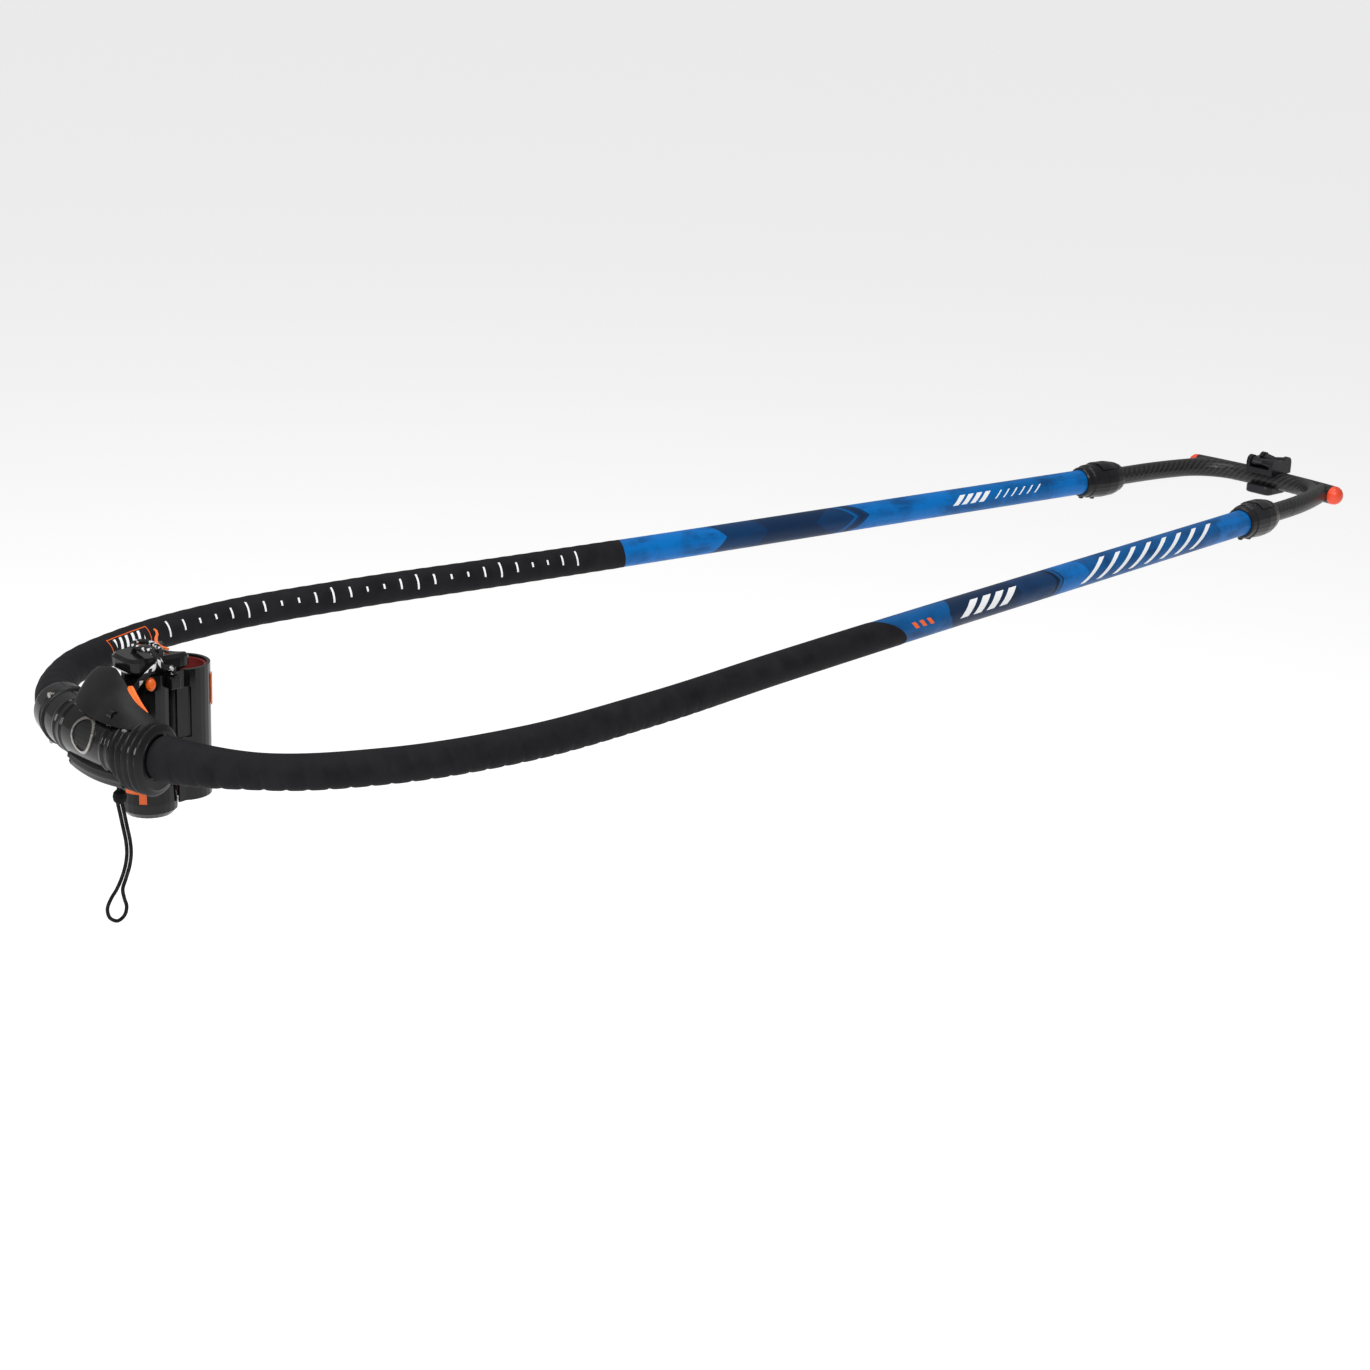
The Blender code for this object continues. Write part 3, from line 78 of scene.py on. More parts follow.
def make_stage():
    bm = bmesh.new()
    bmesh.ops.create_grid(bm, x_segments=1, y_segments=1, size=30.0)
    bmesh.ops.translate(bm, vec=(0, 0, FLOOR_Z), verts=bm.verts)
    mesh = bpy.data.meshes.new("floor")
    bm.to_mesh(mesh)
    bm.free()
    floor = bpy.data.objects.new("floor", mesh)
    bpy.context.scene.collection.objects.link(floor)
    paint = bpy.data.materials.new("floor_paint")
    paint.use_nodes = True
    shader = paint.node_tree.nodes["Principled BSDF"]
    shader.inputs["Base Color"].default_value = (0.62, 0.62, 0.62, 1)
    shader.inputs["Emission Color"].default_value = (1, 1, 1, 1)
    shader.inputs["Emission Strength"].default_value = 0.60
    shader.inputs["Roughness"].default_value = 1.0
    shader.inputs["Specular IOR Level"].default_value = 0.0
    floor.data.materials.append(paint)
    world = bpy.data.worlds.new("studio")
    bpy.context.scene.world = world
    world.use_nodes = True
    world.node_tree.nodes["Background"].inputs["Color"].default_value = (1, 1, 1, 1)
    world.node_tree.nodes["Background"].inputs["Strength"].default_value = 0.36
    area_light("key", (-1.6, -1.8, 2.6), (0.3, 0, 0), 0.9, 74)
    area_light("top", (0.5, 0.3, 2.4), (0.5, 0, 0), 1.6, 30)
    area_light("side", (-2.2, 0.8, 0.7), (0, 0, 0), 0.8, 14)
    bpy.context.scene.view_settings.view_transform = "Standard"


make_camera()
make_stage()

# Materials


class Paint:
    """A procedural material and the few node helpers that the paints share."""

    def __init__(self, name, roughness=0.5, metallic=0.0, **extra):
        self.mat = bpy.data.materials.new(name)
        self.mat.use_nodes = True
        self.tree = self.mat.node_tree
        self.shader = self.tree.nodes["Principled BSDF"]
        self.shader.inputs["Roughness"].default_value = roughness
        self.shader.inputs["Metallic"].default_value = metallic
        for key, value in extra.items():
            self.shader.inputs[key.replace("_", " ")].default_value = value
        self.bump_height = None

    def put(self, socket, value):
        if isinstance(value, bpy.types.NodeSocket):
            self.tree.links.new(value, socket)
        else:
            socket.default_value = value

    def math(self, operation, *values):
        node = self.tree.nodes.new("ShaderNodeMath")
        node.operation = operation
        for socket, value in zip(node.inputs, values):
            self.put(socket, value)
        return node.outputs[0]

    def mix(self, share, low, high):
        node = self.tree.nodes.new("ShaderNodeMix")
        node.data_type = "RGBA"
        self.put(node.inputs["Factor"], share)
        for socket, value in ((node.inputs[6], low), (node.inputs[7], high)):
            self.put(socket, value if isinstance(value, bpy.types.NodeSocket) else (*value, 1.0))
        return node.outputs[2]

    def place(self, kind="Object"):
        return self.tree.nodes.new("ShaderNodeTexCoord").outputs[kind]

    def split(self, vector):
        node = self.tree.nodes.new("ShaderNodeSeparateXYZ")
        self.tree.links.new(vector, node.inputs[0])
        return node.outputs

    def join(self, x, y, z=0.0):
        node = self.tree.nodes.new("ShaderNodeCombineXYZ")
        for socket, value in zip(node.inputs, (x, y, z)):
            self.put(socket, value)
        return node.outputs[0]

    def noise(self, scale, detail=3.0, vector=None, roughness=0.5):
        node = self.tree.nodes.new("ShaderNodeTexNoise")
        node.inputs["Scale"].default_value = scale
        node.inputs["Detail"].default_value = detail
        node.inputs["Roughness"].default_value = roughness
        self.tree.links.new(vector or self.place(), node.inputs["Vector"])
        return node.outputs[0]

    def ramp(self, value, low, high, to_low=0.0, to_high=1.0):
        node = self.tree.nodes.new("ShaderNodeMapRange")
        for socket, number in zip(node.inputs, (value, low, high, to_low, to_high)):
            self.put(socket, number)
        return node.outputs[0]

    def colour(self, value):
        if isinstance(value, bpy.types.NodeSocket):
            self.put(self.shader.inputs["Base Color"], value)
        else:
            self.shader.inputs["Base Color"].default_value = (*value, 1.0)

    def rough(self, value):
        self.put(self.shader.inputs["Roughness"], value)

    def bump(self, height, distance, strength=1.0):
        node = self.tree.nodes.new("ShaderNodeBump")
        node.inputs["Strength"].default_value = strength
        node.inputs["Distance"].default_value = distance
        self.put(node.inputs["Height"], height)
        self.put(self.shader.inputs["Normal"], node.outputs[0])


def plastic(name, colour, roughness, grain=700.0, depth=0.00006, spread=0.12, **extra):
    """Moulded plastic or rubber: a fine grain, and a slow drift in colour and gloss."""
    p = Paint(name, roughness, **extra)
    slow = p.noise(38.0, 4.0)
    fine = p.noise(grain, 3.0)
    lighter = tuple(min(c * 1.55 + 0.004, 1.0) for c in colour)
    p.colour(p.mix(p.ramp(slow, 0.35, 0.72), colour, lighter))
    p.rough(p.ramp(p.math("ADD", p.math("MULTIPLY", slow, 0.6), p.math("MULTIPLY", fine, 0.4)), 0.3, 0.7,
                   roughness - spread, roughness + spread))
    p.bump(fine, depth)
    return p.mat


def metal(name, colour, roughness):
    p = Paint(name, roughness, 1.0)
    x, y, z = p.split(p.place())
    lines = p.noise(260.0, 2.0, p.join(p.math("MULTIPLY", x, 6.0), y, p.math("MULTIPLY", z, 6.0)))
    darker = tuple(c * 0.7 for c in colour)
    p.colour(p.mix(lines, darker, colour))
    p.rough(p.ramp(lines, 0.3, 0.7, roughness - 0.08, roughness + 0.1))
    p.bump(lines, 0.00003)
    return p.mat


def stripe(p, value, low, high):
    """1 where low < value < high."""
    return p.math("MULTIPLY", p.math("GREATER_THAN", value, low), p.math("LESS_THAN", value, high))


def off_centre(p, v, centre):
    """How far round the tube v is from centre, in turns, 0 to 0.5."""
    return p.math("ABSOLUTE", p.math("WRAP", p.math("SUBTRACT", v, centre), 0.5, -0.5))


def foam(name, graphics=None):
    """Black EVA with fine pores. graphics adds printed marks from the distance along and round."""
    p = Paint(name, 0.72, Specular_IOR_Level=0.07)
    pores = p.noise(2600.0, 2.0)
    cloud = p.noise(55.0, 5.0)
    base = p.mix(p.ramp(cloud, 0.3, 0.75), (0.0085, 0.0083, 0.0098), (0.0175, 0.0170, 0.0190))
    if graphics:
        u, v, _ = p.split(p.place("UV"))
        for mask, ink in graphics(p, u, v):
            base = p.mix(mask, base, ink)
    p.colour(base)
    p.rough(p.ramp(cloud, 0.3, 0.7, 0.58, 0.82))
    p.bump(p.math("ADD", pores, p.math("MULTIPLY", cloud, 0.8)), 0.00009)
    return p.mat


BLUE = (0.0, 0.145, 0.47)
BLUE_DEEP = (0.0, 0.085, 0.27)
NAVY = (0.0055, 0.022, 0.062)
NAVY_MID = (0.004, 0.034, 0.105)
WHITE = (0.86, 0.87, 0.88)
ORANGE = (0.83, 0.13, 0.02)


def lacquer(name, bands, marks):
    """Printed blue arm. bands are (x, slant, colour) in order aft; marks are (mask maker, colour)."""
    p = Paint(name, 0.42, Specular_IOR_Level=0.14, Coat_Weight=0.04, Coat_Roughness=0.3)
    u, v, _ = p.split(p.place("UV"))
    coords = p.join(p.math("MULTIPLY", u, 1.0), p.math("MULTIPLY", v, 0.083), 0.0)
    cloud = p.noise(24.0, 5.0, coords, 0.6)
    streak = p.noise(60.0, 3.0, p.join(p.math("MULTIPLY", u, 0.35), p.math("MULTIPLY", v, 0.20), 0.3))
    colour = p.mix(0.0, bands[0][3], bands[0][3])
    for start, slant, centre, ink in bands:
        turn = off_centre(p, v, centre)
        reach = p.math("ADD", u, p.math("MULTIPLY", p.math("MINIMUM", turn, 0.25), slant))
        colour = p.mix(p.math("GREATER_THAN", reach, start), colour, ink)
    dark = p.mix(p.ramp(cloud, 0.42, 0.64), colour, p.mix(0.62, colour, (0.002, 0.02, 0.07)))
    colour = p.mix(p.ramp(streak, 0.45, 0.62, 0.0, 0.75), dark, colour)
    for maker, ink in marks:
        colour = p.mix(maker(p, u, v), colour, ink)
    p.colour(colour)
    p.rough(p.ramp(cloud, 0.3, 0.7, 0.36, 0.52))
    p.bump(p.noise(900.0, 2.0), 0.00002)
    return p.mat


def bars(low, high, count, share, lean, centre, half):
    """A maker of a row of leaning bars between low and high along the arm."""
    pitch = (high - low) / count

    def maker(p, u, v):
        turn = p.math("WRAP", p.math("SUBTRACT", v, centre), 0.5, -0.5)
        leaned = p.math("ADD", u, p.math("MULTIPLY", turn, lean))
        inside = stripe(p, leaned, low, high)
        phase = p.math("FRACT", p.math("DIVIDE", p.math("SUBTRACT", leaned, low), pitch))
        bar = p.math("LESS_THAN", phase, share)
        in_band = p.math("LESS_THAN", p.math("ABSOLUTE", turn), half)
        return p.math("MULTIPLY", p.math("MULTIPLY", inside, bar), in_band)

    return maker


def chevron(place, width, slant, centre):
    def maker(p, u, v):
        turn = p.math("MINIMUM", off_centre(p, v, centre), 0.25)
        return stripe(p, p.math("ADD", u, p.math("MULTIPLY", turn, slant)), place, place + width)

    return maker


def carbon(name, from_uv):
    """Clear-coated twill. Without a UV map the turn round a leg comes from the surface's normal."""
    p = Paint(name, 0.38, Specular_IOR_Level=0.22, Coat_Weight=0.08, Coat_Roughness=0.12)
    if from_uv:
        u, v, _ = p.split(p.place("UV"))
    else:
        u = p.split(p.place())[0]
        _, ny, nz = p.split(p.place("Normal"))
        v = p.math("DIVIDE", p.math("ARCTAN2", nz, ny), math.tau)
    a = p.math("DIVIDE", u, 0.0019)
    b = p.math("MULTIPLY", v, 32.0)
    step = p.math("ADD", p.math("FLOOR", a), p.math("FLOOR", b))
    over = p.math("LESS_THAN", p.math("MODULO", p.math("ADD", step, 400.0), 4.0), 2.0)
    along = p.math("PINGPONG", a, 0.5)
    across = p.math("PINGPONG", b, 0.5)
    height = p.mix(over, p.join(along, along, along), p.join(across, across, across))
    tone = p.split(height)[0]
    shade = p.math("ADD", p.math("MULTIPLY", over, 0.55), p.math("MULTIPLY", tone, 0.9))
    p.colour(p.mix(shade, (0.004, 0.004, 0.0045), (0.034, 0.034, 0.036)))
    p.rough(p.ramp(over, 0.0, 1.0, 0.30, 0.46))
    p.bump(tone, 0.00012)
    return p.mat


def braid(name, dark, light, amount, roughness=0.75):
    """Braided cord: slanted strands, some of them light."""
    p = Paint(name, roughness, Specular_IOR_Level=0.15)
    u, v, _ = p.split(p.place("UV"))
    a = p.math("ADD", p.math("DIVIDE", u, 0.0042), p.math("MULTIPLY", v, 4.0))
    b = p.math("SUBTRACT", p.math("DIVIDE", u, 0.0042), p.math("MULTIPLY", v, 4.0))
    cell = p.join(p.math("FLOOR", a), p.math("FLOOR", b), 0.5)
    node = p.tree.nodes.new("ShaderNodeTexWhiteNoise")
    p.tree.links.new(cell, node.inputs["Vector"])
    fleck = p.math("LESS_THAN", node.outputs[0], amount)
    round_a = p.math("PINGPONG", a, 0.5)
    round_b = p.math("PINGPONG", b, 0.5)
    height = p.math("MINIMUM", round_a, round_b)
    p.colour(p.mix(fleck, dark, light))
    p.bump(height, 0.0006)
    return p.mat


def ruler(first, pitch):
    def graphics(p, u, v):
        at = p.math("DIVIDE", p.math("SUBTRACT", u, first), pitch)
        nearest = p.math("ROUND", at)
        line = p.math("LESS_THAN", p.math("ABSOLUTE", p.math("SUBTRACT", at, nearest)), 0.055)
        fifth = p.math("ABSOLUTE", p.math("SUBTRACT", p.math("MODULO", nearest, 5.0), 2.5))
        span = p.math("ADD", p.math("MULTIPLY", fifth, 0.030), 0.012)
        near = p.math("LESS_THAN", off_centre(p, v, 0.425), span)
        inside = stripe(p, nearest, -0.5, 25.5)
        tick = p.math("MULTIPLY", p.math("MULTIPLY", line, near), inside)
        across = p.math("DIVIDE", p.math("ABSOLUTE", p.math("SUBTRACT", u, LABEL_U)), LABEL_HALF_U)
        turn = p.math("DIVIDE", off_centre(p, v, 0.405), LABEL_HALF_V)
        edge = p.math("MAXIMUM", across, turn)
        frame_line = p.math("MULTIPLY", p.math("LESS_THAN", p.math("MAXIMUM", across, turn), 1.0),
                            p.math("MAXIMUM", p.math("GREATER_THAN", across, 0.965),
                                   p.math("GREATER_THAN", turn, 0.88)))
        phase = p.math("FRACT", p.math("DIVIDE", p.math("ADD", u, p.math("MULTIPLY", v, 0.03)), 0.0076))
        bar = p.math("MULTIPLY", p.math("LESS_THAN", phase, 0.42), p.math("LESS_THAN", edge, 0.72))
        return [(tick, WHITE), (frame_line, ORANGE), (bar, WHITE)]

    return graphics


# The wishbone's centreline, as in the CAD

ARM_END_X, ARM_END_Y, ARM_SLOPE = 1.202, 0.104, 0.0965
ARM_CURVE = [(-0.072, 0.0), (-0.051, 0.097), (-0.014, 0.143), (0.059, 0.180),
             (0.162, 0.200), (0.293, 0.196), (0.454, 0.1775)]


def arm_y(x):
    return ARM_END_Y + (ARM_END_X - x) * ARM_SLOPE


def smooth_curve(points, per_span):
    points = [Vector(p) for p in points]
    chords = [(b - a).length for a, b in zip(points, points[1:])]
    tangents = [(points[1] - points[0]) / chords[0]]
    for k in range(1, len(points) - 1):
        back = (points[k] - points[k - 1]) / chords[k - 1]
        ahead = (points[k + 1] - points[k]) / chords[k]
        share = chords[k - 1] / (chords[k - 1] + chords[k])
        tangents.append(back * (1 - share) + ahead * share)
    tangents.append((points[-1] - points[-2]) / chords[-1])
    made = [points[0]]
    for k, chord in enumerate(chords):
        for step in range(1, per_span + 1):
            t = step / per_span
            made.append(points[k] * (2 * t**3 - 3 * t**2 + 1) + tangents[k] * chord * (t**3 - 2 * t**2 + t)
                        + points[k + 1] * (3 * t**2 - 2 * t**3) + tangents[k + 1] * chord * (t**3 - t**2))
    return made


def lengths_of(points):
    total = [0.0]
    for a, b in zip(points, points[1:]):
        total.append(total[-1] + (b - a).length)
    return total


HALF = ARM_CURVE + [(0.60, arm_y(0.60)), (0.90, arm_y(0.90)), (ARM_END_X, ARM_END_Y)]
LINE = smooth_curve([(x, -y, 0) for x, y in reversed(HALF[1:])] + [(x, y, 0) for x, y in HALF], 24)
LINE_S = lengths_of(LINE)
MIDDLE = LINE_S[len(LINE) // 2]


def at_length(points, lengths, distance):
    distance = min(max(distance, 0.0), lengths[-1])
    low, high = 0, len(lengths) - 1
    while high - low > 1:
        k = (low + high) // 2
        if lengths[k] <= distance:
            low = k
        else:
            high = k
    share = (distance - lengths[low]) / (lengths[high] - lengths[low])
    return points[low].lerp(points[high], share)


def centre_at(s):
    return at_length(LINE, LINE_S, MIDDLE + s)


def station(s):
    """(s, point, outward normal, up) at a distance along the centreline, positive to starboard."""
    along = (centre_at(s + 0.003) - centre_at(s - 0.003)).normalized()
    return s, centre_at(s), Vector((-along.y, along.x, 0.0)), Vector((0, 0, 1))


def stations(low, high, pitch):
    count = max(2, round(abs(high - low) / pitch))
    return [station(low + (high - low) * k / count) for k in range(count + 1)]


def arc_at_x(x):
    for k in range(len(LINE) // 2, len(LINE)):
        if LINE[k].x >= x:
            share = (x - LINE[k - 1].x) / (LINE[k].x - LINE[k - 1].x)
            return LINE_S[k - 1] + share * (LINE_S[k] - LINE_S[k - 1]) - MIDDLE
    return LINE_S[-1] - MIDDLE


LABEL_U = (arc_at_x(0.030) + arc_at_x(0.077)) / 2
LABEL_HALF_U = (arc_at_x(0.077) - arc_at_x(0.030)) / 2
LABEL_HALF_V = 0.082


def finish_mesh(name, bm, mat, sharp=40.0):
    bmesh.ops.recalc_face_normals(bm, faces=bm.faces)
    mesh = bpy.data.meshes.new(name)
    bm.to_mesh(mesh)
    bm.free()
    mesh.shade_smooth()
    mesh.set_sharp_from_angle(angle=math.radians(sharp))
    mesh.materials.append(mat)
    obj = bpy.data.objects.new(name, mesh)
    bpy.context.scene.collection.objects.link(obj)
    return obj


def skin(name, places, radius, mat, steps=40, start=0.0, turn=1.0, inner=None, mirror_u=False,
         sharp=40.0, caps=True):
    """A swept skin with a UV map of metres along and turns round.

    radius(s, angle) is the outer radius, angle in degrees: 0 outward, 90 up. inner makes it a shell.
    """
    bm = bmesh.new()
    layer = bm.loops.layers.uv.new("map")
    full = turn >= 1.0
    count = steps if full else steps + 1

    def rings(reach):
        made = []
        for s, point, normal, up in places:
            ring = []
            for k in range(count):
                angle = math.tau * (start + turn * k / steps)
                outwards = normal * math.cos(angle) + up * math.sin(angle)
                place = point + outwards * reach(s, math.degrees(angle))
                ring.append(bm.verts.new(place))
            made.append(ring)
        return made

    def face(corners, coords):
        made = bm.faces.new(corners)
        for loop, uv in zip(made.loops, coords):
            loop[layer].uv = uv

    def wrap(made):
        for i, (low, high) in enumerate(zip(made, made[1:])):
            u0, u1 = places[i][0], places[i + 1][0]
            if mirror_u:
                u0, u1 = -u0, -u1
            for k in range(steps):
                v0, v1 = start + turn * k / steps, start + turn * (k + 1) / steps
                j = (k + 1) % count
                face((low[k], low[j], high[j], high[k]), ((u0, v0), (u0, v1), (u1, v1), (u1, v0)))

    outside = rings(radius)
    wrap(outside)
    if inner is not None:
        inside = rings(lambda s, a: inner)
        wrap(inside)
        for out_ring, in_ring in ((outside[0], inside[0]), (outside[-1], inside[-1])):
            for k in range(steps):
                j = (k + 1) % count
                bm.faces.new((out_ring[k], out_ring[j], in_ring[j], in_ring[k]))
        if not full:
            for edge in (0, -1):
                for i in range(len(places) - 1):
                    bm.faces.new((outside[i][edge], outside[i + 1][edge],
                                  inside[i + 1][edge], inside[i][edge]))
    elif caps:
        for ring in (outside[0], outside[-1]):
            bm.faces.new(ring)
    return finish_mesh(name, bm, mat, sharp)


def ease(t):
    t = min(max(t, 0.0), 1.0)
    return t * t * (3 - 2 * t)


# Paints

GLOSS = plastic("gloss_black", (0.0035, 0.0035, 0.004), 0.15, 1500.0, 0.000008, 0.04, Specular_IOR_Level=0.3)
SATIN = plastic("satin_black", (0.0065, 0.0065, 0.008), 0.30, 1300.0, 0.00003, 0.07, Specular_IOR_Level=0.22)
MATTE = plastic("matte_black", (0.0075, 0.0075, 0.008), 0.46, 1100.0, 0.00005, 0.1, Specular_IOR_Level=0.16)
RUBBER = plastic("rubber_black", (0.0065, 0.0065, 0.007), 0.38, 900.0, 0.00004, 0.08, Specular_IOR_Level=0.2)
ORANGE_PLASTIC = plastic("orange_plastic", (0.86, 0.115, 0.004), 0.40, 900.0, 0.00003, 0.06)
RED_PLASTIC = plastic("red_plastic", (0.70, 0.055, 0.018), 0.38, 900.0, 0.00003, 0.06)
# The mast pads' red is darkened to a deep red: painted shade for the inside of the jaw, where the pads sit in shadow.
SHADED_PAD_RED = plastic("red_rubber", (0.13, 0.006, 0.005), 0.6, 900.0, 0.00006, 0.1)
STEEL = metal("steel", (0.42, 0.40, 0.38), 0.3)
BLACK_STEEL = metal("black_steel", (0.05, 0.05, 0.055), 0.35)
FOAM = foam("eva_foam")
FOAM_RULED = foam("eva_foam_ruled", ruler(arc_at_x(0.099), 0.0173))
CARBON = carbon("carbon_twill", True)
CARBON_LEG = carbon("carbon_leg", False)
SPECKLED = braid("speckled_braid", (0.012, 0.012, 0.014), (0.62, 0.62, 0.63), 0.25, 0.6)
CORD = braid("black_braid", (0.006, 0.006, 0.007), (0.014, 0.014, 0.015), 0.4)


def arc(x):
    return arc_at_x(x)


FAR_V, NEAR_V = 0.445, 0.066
PAINT_STARBOARD = lacquer(
    "print_starboard",
    [
        (-1.0, 0.0, FAR_V, BLUE),
        (arc(0.700), 0.08, FAR_V, NAVY_MID),
        (arc(0.750), 0.06, FAR_V, NAVY),
        (arc(0.812), -0.12, FAR_V, NAVY_MID),
        (arc(0.882), 0.105, FAR_V, BLUE),
        (arc(0.995), 0.0, FAR_V, (0.0, 0.120, 0.385)),
        (arc(1.140), 0.0, FAR_V, BLUE),
    ],
    [
        (chevron(arc(0.862), 0.005, 0.105, FAR_V), BLUE_DEEP),
        (chevron(arc(0.872), 0.004, 0.105, FAR_V), NAVY),
        (bars(arc(1.001), arc(1.049), 4, 0.62, 0.10, 0.44, 0.062), WHITE),
        (bars(arc(1.059), arc(1.127), 6, 0.20, 0.10, 0.44, 0.050), WHITE),
    ],
)
PAINT_PORT = lacquer(
    "print_port",
    [
        (-1.0, 0.0, NEAR_V, BLUE_DEEP),
        (arc(0.676), -0.04, NEAR_V, NAVY),
        (arc(0.786), 0.06, NEAR_V, NAVY_MID),
        (arc(0.854), 0.05, NEAR_V, BLUE),
        (arc(0.895), 0.05, NEAR_V, (0.0, 0.090, 0.29)),
        (arc(1.132), 0.02, NEAR_V, BLUE),
    ],
    [
        (chevron(arc(0.842), 0.004, 0.05, NEAR_V), (0.0, 0.01, 0.03)),
        (chevron(arc(0.848), 0.003, 0.05, NEAR_V), BLUE_DEEP),
        (bars(arc(0.624), arc(0.656), 3, 0.5, 0.06, 0.060, 0.035), ORANGE),
        (bars(arc(0.701), arc(0.780), 4, 0.60, -0.12, 0.065, 0.085), WHITE),
        (bars(arc(0.902), arc(1.122), 8, 0.30, -0.16, 0.060, 0.130), WHITE),
    ],
)

# Materials of the CAD nodes that show

KEPT = {
    GLOSS: ["head_body", "head_cover", "mast_jaw"],
    MATTE: ["badge_plate"],
    SATIN: ["collar_port", "collar_starboard", "clip_port", "clip_starboard", "outhaul_block", "outhaul_plate",
            "roller_front", "roller_rear", "leg_plug_port", "leg_plug_starboard"],
    RUBBER: ["wiper_port", "wiper_starboard", "tube_bush"],
    ORANGE_PLASTIC: ["base_trim", "jaw_stripe", "rope_eyelet", "rope_hook"],
    RED_PLASTIC: ["end_cap_port", "end_cap_starboard"],
    SHADED_PAD_RED: ["cradle_pad", "jaw_pad"],
    STEEL: ["badge_ring", "cover_screw_1", "cover_screw_2", "cover_screw_3", "cover_screw_4",
            "jaw_pin", "lever_pin", "leg_ferrule_port", "leg_ferrule_starboard"],
    BLACK_STEEL: ["clip_pivot_port", "clip_pivot_starboard", "outhaul_screw_1", "outhaul_screw_2",
                  "roller_pin_front", "roller_pin_rear", "collar_screw_port_1", "collar_screw_port_2",
                  "collar_screw_starboard_1", "collar_screw_starboard_2"],
    CARBON_LEG: ["tail_leg_port", "tail_leg_starboard"],
    SPECKLED: ["rope_stopper"],
    CORD: ["loop_knot"],
}
for paint, nodes in KEPT.items():
    for node in nodes:
        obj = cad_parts[node]
        if not obj.data.materials:
            obj.data.materials.append(paint)
        for place in obj.material_slots:
            place.material = paint


def soften(node, width, segments=3, angle=32):
    """Round the CAD node's edges with a modifier; its own vertices stay."""
    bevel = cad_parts[node].modifiers.new("edge", "BEVEL")
    bevel.width, bevel.segments, bevel.limit_method = width, segments, "ANGLE"
    bevel.angle_limit = math.radians(angle)
    bevel.harden_normals = False
    bevel.use_clamp_overlap = True


for node, width in (("head_body", 0.0006), ("mast_jaw", 0.0006),
                    ("outhaul_block", 0.0010), ("outhaul_plate", 0.0008),
                    ("collar_port", 0.0005), ("collar_starboard", 0.0005),
                    ("clip_port", 0.0005), ("clip_starboard", 0.0005)):
    soften(node, width)

# Arms and grips

HEAD_HALF = 0.068
ENDS = {-1: arc(0.597), 1: arc(0.585)}
TAGS = {-1: "port", 1: "starboard"}
ARM_LAST = arc(ARM_END_X)


def make_arm(side):
    """The tube of one arm: slim under the grip, and printed from the grip to the collar."""
    step = ENDS[side] - 0.040

    def radius(s, angle):
        return 0.0114 + 0.0017 * ease((abs(s) - step) / 0.001)

    low = stations(0.0, side * (step - 0.001), 0.01)
    high = stations(side * step, side * ARM_LAST, 0.02)
    paint = PAINT_PORT if side < 0 else PAINT_STARBOARD
    return skin(f"arm_{TAGS[side]}", low + high, radius, paint, 48, mirror_u=side < 0)


def grip_radius(side):
    first = HEAD_HALF + 0.003

    def radius(s, angle):
        s = abs(s)
        share = ease((s - first) / 0.085)
        base = 0.0168 + (0.0133 - 0.0168) * share
        if side < 0:
            turn = (angle + 180.0) % 360.0 - 180.0
            mask = ease((turn + 165) / 45) * ease((95 - turn) / 55)
            upper = ease((turn - 10) / 60)
            phase = (s + 0.0025 * math.sin(math.radians(turn))) / 0.0150 % 1.0
            block = 1.0 - abs(2 * phase - 1) ** 5
            fade = ease((0.60 - s) / 0.12) * (1.0 - 0.35 * upper)
            base += 0.0011 * (block - 0.75) * mask * fade
        else:
            phase = s / 0.0173 % 1.0
            base += 0.00012 * math.cos(math.tau * phase)
        base -= 0.0012 * (1 - ease((s - first) / 0.0025))
        return base

    return radius


def make_grip(side):
    """EVA grip; its aft edge is cut at a slant round the tube."""
    first, last = HEAD_HALF + 0.003, ENDS[side]
    places = stations(side * first, side * last, 0.0014)
    mat = FOAM if side < 0 else FOAM_RULED
    obj = skin(f"grip_skin_{TAGS[side]}", places, grip_radius(side), mat, 56, inner=0.0118, mirror_u=side < 0)
    for vert in obj.data.vertices:
        share = ease((vert.co.x - 0.45) / 0.14)
        if share <= 0.0:
            continue
        y = abs(vert.co.y) - arm_y(vert.co.x)
        angle = math.atan2(vert.co.z, y)
        if side < 0:
            shift = 0.019 * math.cos(angle + math.radians(38)) - 0.001
        else:
            shift = 0.004 * math.cos(angle - math.radians(-30)) - 0.002
        vert.co.x += share * shift
        vert.co.y -= side * share * shift * ARM_SLOPE
    return obj


arms = {}
for side in (-1, 1):
    pieces = [make_arm(side), make_grip(side)]
    arms[side] = pieces
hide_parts("boom_tube")
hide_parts("boom_tube")
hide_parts("grip_port")
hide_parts("grip_starboard")
for side, pieces in arms.items():
    for piece in pieces:
        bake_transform(piece)

# Tube clamp: ribbed sleeve, rubber boots and guard


def sleeve_radius(s, angle):
    turn = (angle + 180.0) % 360.0 - 180.0
    base = 0.0213
    front = ease((85 - abs(turn)) / 20)
    for place in (0.0185, 0.0270, -0.0335, -0.0405):
        base += 0.0011 * max(0.0, 1 - ((s - place) / 0.0024) ** 2) * front
    base += 0.0003 * front
    if abs(abs(turn) - 90) < 2.2:
        base -= 0.0008
    base -= 0.0012 * ease((abs(s) - 0.066) / 0.003)
    return base


sleeve = skin("clamp_sleeve", stations(-0.069, 0.069, 0.0008), sleeve_radius, GLOSS, 160, inner=0.0150)
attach(sleeve, "boom")


